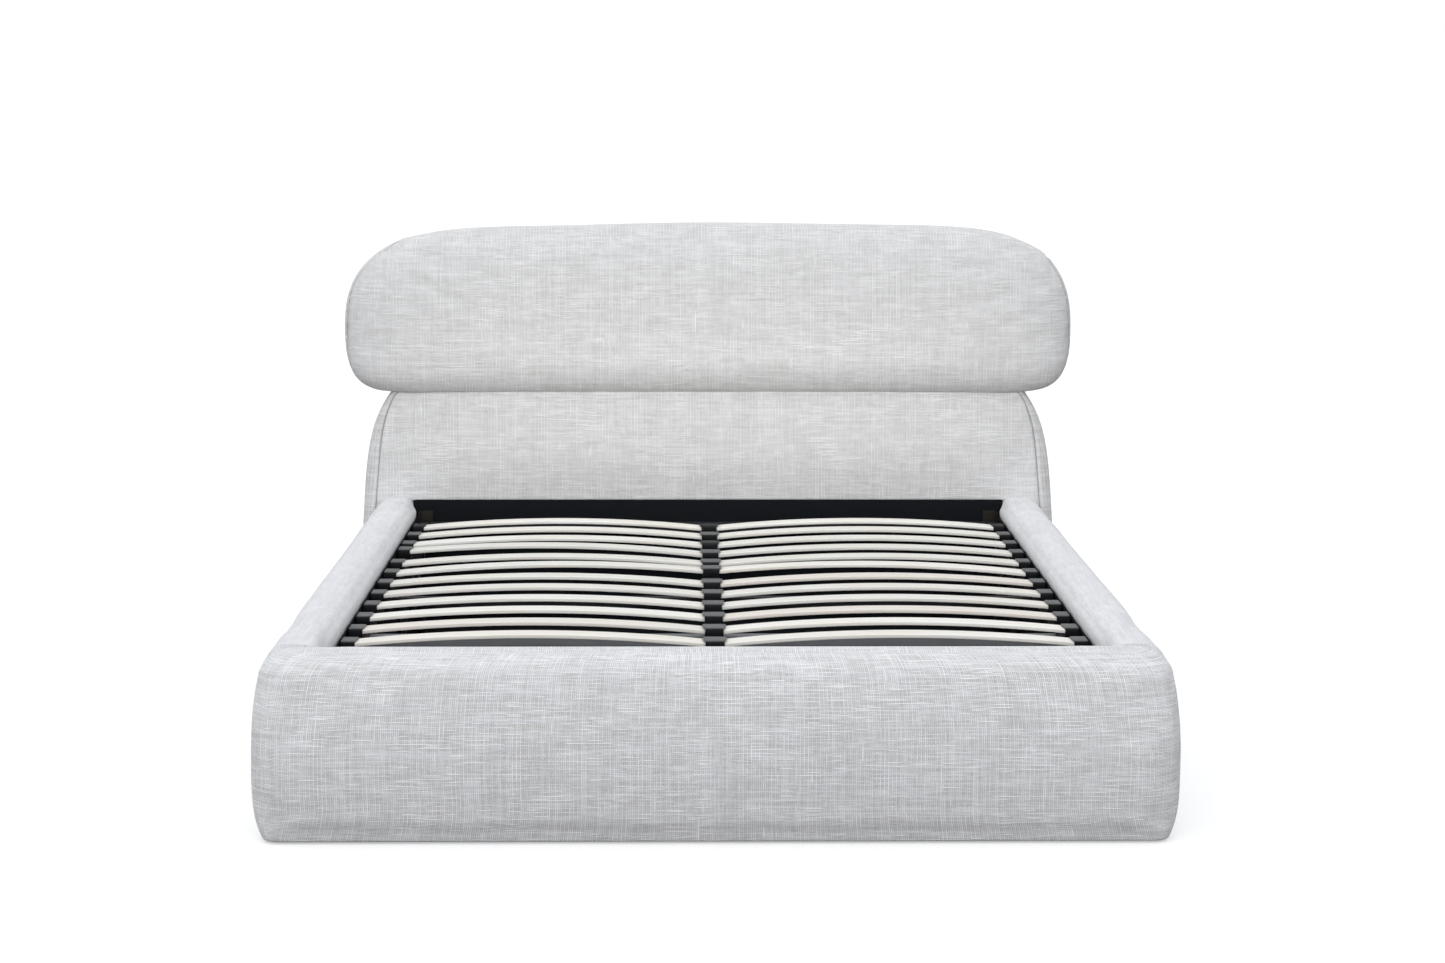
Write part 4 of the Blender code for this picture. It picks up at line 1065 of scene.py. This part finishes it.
def make_slat(name, number):
    """One bowed slat, along the line of its CAD node."""
    start, end = slat_ends(name)
    length = np.linalg.norm(end - start)
    run = (end - start) / length
    across = np.array([-run[1], run[0], 0.0]) * math.copysign(1.0, start[0])
    section = slat_outline()
    parts = np.concatenate([[0.0, 0.0], spread(0.0, 1.0, 0.030), [1.0, 1.0]])
    shrink = np.ones((len(parts), 1, 1))
    shrink[[0, -1]] = 0.0
    crown = SLAT_CROWN * (1 - (2 * parts - 1) ** 2)
    middle = start + np.outer(parts, end - start) + np.outer(crown, UP)
    rings = middle[:, None, :] + shrink * (section[None, :, :1] * across
                                           + section[None, :, 1:] * UP)
    girth = along_path(np.concatenate([section, section[:1]]))
    lengthwise = parts[:, None] * length + number * SLAT_SPACING + 0.5
    piece = ring_mesh(name + "_board", rings, [stacked(lengthwise, girth - girth[-1] / 2)], WOOD)
    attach(piece, "slat_frame")
    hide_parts(name)


def block_rings(outline, low, high, radius, crown=0.0):
    """Rings of a block over a plan outline about the origin: rounded top edge, crowned top."""
    reach = np.abs(outline).max(axis=0)
    middle = reach.min() * 0.999
    levels = [(middle, low), (radius * 0.5, low), (0.0, low + radius * 0.5)]
    levels += [(radius * (1 - math.cos(angle)), high - radius * (1 - math.sin(angle)))
               for angle in np.radians((0, 30, 60, 90))]
    levels += [(radius + (reach.min() - radius) * share, high + crown * share)
               for share in (0.3, 0.6, 0.999)]
    return np.array([np.column_stack([outline * (1 - inset / reach), np.full(len(outline), z)])
                     for inset, z in levels])


CAP_HALF_Y = 0.0235
CAP_LOW = 0.3272
CAP_RADIUS, CAP_CROWN = 0.0016, 0.0012
BODY_HALF_Y = 0.0300
BODY_INSET = 0.001          # how far the body lies inside the cap's width
HOLDER_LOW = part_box("holders_centre")[0].z
HOLDER_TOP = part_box("holders_centre")[1].z - CAP_CROWN
SIDE_HOLDER_INNER = 0.7400
SIDE_HOLDER_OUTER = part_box("holders_right")[1].x - 0.0003
CENTRE_HOLDER_HALF = 0.0205
SIDE_LAP, CENTRE_LAP = 0.003, 0.0045        # how far a cap reaches out over the slat
# Places along a cap's end, and the share of its lap there
LAP_PLACES = np.array([-1.0, -0.8, -0.4, 0.1, 0.6, 0.9, 1.0])
LAP_SHARES = np.array([-0.5, 0.0, 0.25, 0.6, 1.0, 0.9, 0.5])


def make_holder(column, row, x_low, x_high, y, lap_low, lap_high):
    """One slat holder: a dark body on the tube, and a grey cap that laps over the slat ends."""
    middle, half = (x_low + x_high) / 2, (x_high - x_low) / 2
    low_side = stacked(-half - lap_low * LAP_SHARES, LAP_PLACES * CAP_HALF_Y)[::-1]
    high_side = stacked(half + lap_high * LAP_SHARES, LAP_PLACES * CAP_HALF_Y)
    wide = half - BODY_INSET
    body = np.array([(-wide, -BODY_HALF_Y), (wide, -BODY_HALF_Y), (wide, BODY_HALF_Y),
                     (-wide, BODY_HALF_Y)])
    # Painted shade: the caps nearest the foot, and one in the middle, lie in shade and take the
    # bodies' dark plastic.
    dark = row == 1 or (column, row) == ("centre", 3)
    cap_rows = block_rings(np.concatenate([low_side, high_side]), CAP_LOW, HOLDER_TOP, CAP_RADIUS,
                           CAP_CROWN)
    body_rows = block_rings(body, HOLDER_LOW, CAP_LOW + 0.0004, 0.001)
    for part, rings, material in (("cap", cap_rows, DARK_AND_SHADED_PLASTIC if dark else PLASTIC),
                                  ("body", body_rows, DARK_AND_SHADED_PLASTIC)):
        rings = rings + np.array([middle, y, 0.0])
        piece = ring_mesh(f"holder_{column}_{row:02d}_{part}", rings,
                          [close_rings(rings)[..., :2]], material)
        piece.data.set_sharp_from_angle(angle=math.radians(50))
        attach(piece, "slat_frame")
        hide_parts("holders_" + column)


def make_slats_and_holders():
    number = 0
    for row in range(1, ROWS + 1):
        for column, sign in (("left", -1), ("right", 1)):
            name = f"slat_{column}_{row:02d}"
            inner, outer = slat_ends(name)
            number += 1
            make_slat(name, number)
            x_low, x_high = sorted((sign * SIDE_HOLDER_INNER, sign * SIDE_HOLDER_OUTER))
            laps = (SIDE_LAP, 0.0) if sign > 0 else (0.0, SIDE_LAP)
            make_holder(column, row, x_low, x_high, outer[1], *laps)
        make_holder("centre", row, -CENTRE_HOLDER_HALF, CENTRE_HOLDER_HALF, inner[1],
                    CENTRE_LAP, CENTRE_LAP)


def make_camera():
    data = bpy.data.cameras.new("camera")
    data.lens, data.sensor_width, data.sensor_fit = CAMERA_LENS, SENSOR, "HORIZONTAL"
    camera = new_object("camera", data)
    camera.matrix_world = (Matrix.Translation(CAMERA_PLACE) @ Matrix.Rotation(-CAMERA_YAW, 4, "Z")
                           @ Matrix.Rotation(math.pi / 2 - CAMERA_PITCH, 4, "X")
                           @ Matrix.Rotation(CAMERA_ROLL, 4, "Z"))
    bpy.context.scene.camera = camera


# Studio
WORLD_FILL = 0.86
SIDE_LIGHT = 0.12           # share by which the light from the left is stronger
FRONT_LAMP = 1.22
FRONT_LAMP_SPREAD = math.radians(75)
HEADBOARD_LAMP = 0.85
FLOOR_GREY, SEEN_FLOOR, FLOOR_GLOW = 0.10, 0.72, 0.45
WHITE, COOL_SKY, WARM_LAMP = (1.0, 1.0, 1.0), (0.955, 0.98, 1.0), (1.0, 0.96, 0.90)


def make_surroundings():
    """A white backdrop as seen, which lights the bed more weakly and a little from the left."""
    world = bpy.data.worlds.new("studio")
    bpy.context.scene.world = world
    nodes = Nodes(world)
    sideways, _, height = nodes.split(nodes.add("TexCoord").outputs["Generated"])
    seen = nodes.seen_directly()
    fill = sideways * (-WORLD_FILL * SIDE_LIGHT) + WORLD_FILL
    strength = nodes.number("Mix", {0: seen, 2: fill, 3: 1.0}, data_type="FLOAT")
    cool = nodes.step(height, 0.1, 0.9) * (1.0 - seen)
    background = nodes.add("Background", {"Color": nodes.mix(cool, WHITE, COOL_SKY),
                                          "Strength": strength})
    nodes.add("OutputWorld", {"Surface": background.outputs[0]})


def make_lamps():
    """One wide soft lamp from the front, and a strip that lights the lower headboard."""
    data = bpy.data.lights.new("headboard_lamp", "AREA")
    data.shape, data.size, data.size_y = "RECTANGLE", 1.7, 0.14
    data.energy, data.color = HEADBOARD_LAMP, WARM_LAMP
    strip = new_object("headboard_lamp", data)
    strip.location = (0.0, 0.50, 0.70)
    strip.rotation_euler = (math.radians(90), 0.0, 0.0)
    strip.visible_camera = strip.visible_glossy = False
    data = bpy.data.lights.new("front_lamp", "SUN")
    data.energy, data.angle = FRONT_LAMP, FRONT_LAMP_SPREAD
    sun = new_object("front_lamp", data)
    sun.rotation_euler = (math.radians(78), 0.0, math.radians(-8))


def make_floor():
    """A floor that looks pale and throws little light back up."""
    material = bpy.data.materials.new("studio_floor")
    nodes = Nodes(material)
    seen = nodes.seen_directly()
    nodes.surface({"Base Color": nodes.mix(seen, (FLOOR_GREY,) * 3, (SEEN_FLOOR,) * 3),
                   "Roughness": 0.9, "Specular IOR Level": 0.0,
                   "Emission Color": (*WHITE, 1.0), "Emission Strength": seen * FLOOR_GLOW})
    bm = bmesh.new()
    bmesh.ops.create_circle(bm, cap_ends=True, segments=64, radius=150.0)
    mesh = bpy.data.meshes.new("studio_floor")
    bm.to_mesh(mesh)
    bm.free()
    mesh.materials.append(material)
    new_object("studio_floor", mesh)


bpy.context.scene.view_settings.view_transform = "Standard"
make_camera()
make_surroundings()
make_lamps()
make_floor()
dress_nodes()
make_footboard()
for side_sign, side_name in ((-1, "left"), (1, "right")):
    make_side_rail(side_sign, side_name)
make_panel()
make_roll()
make_slats_and_holders()
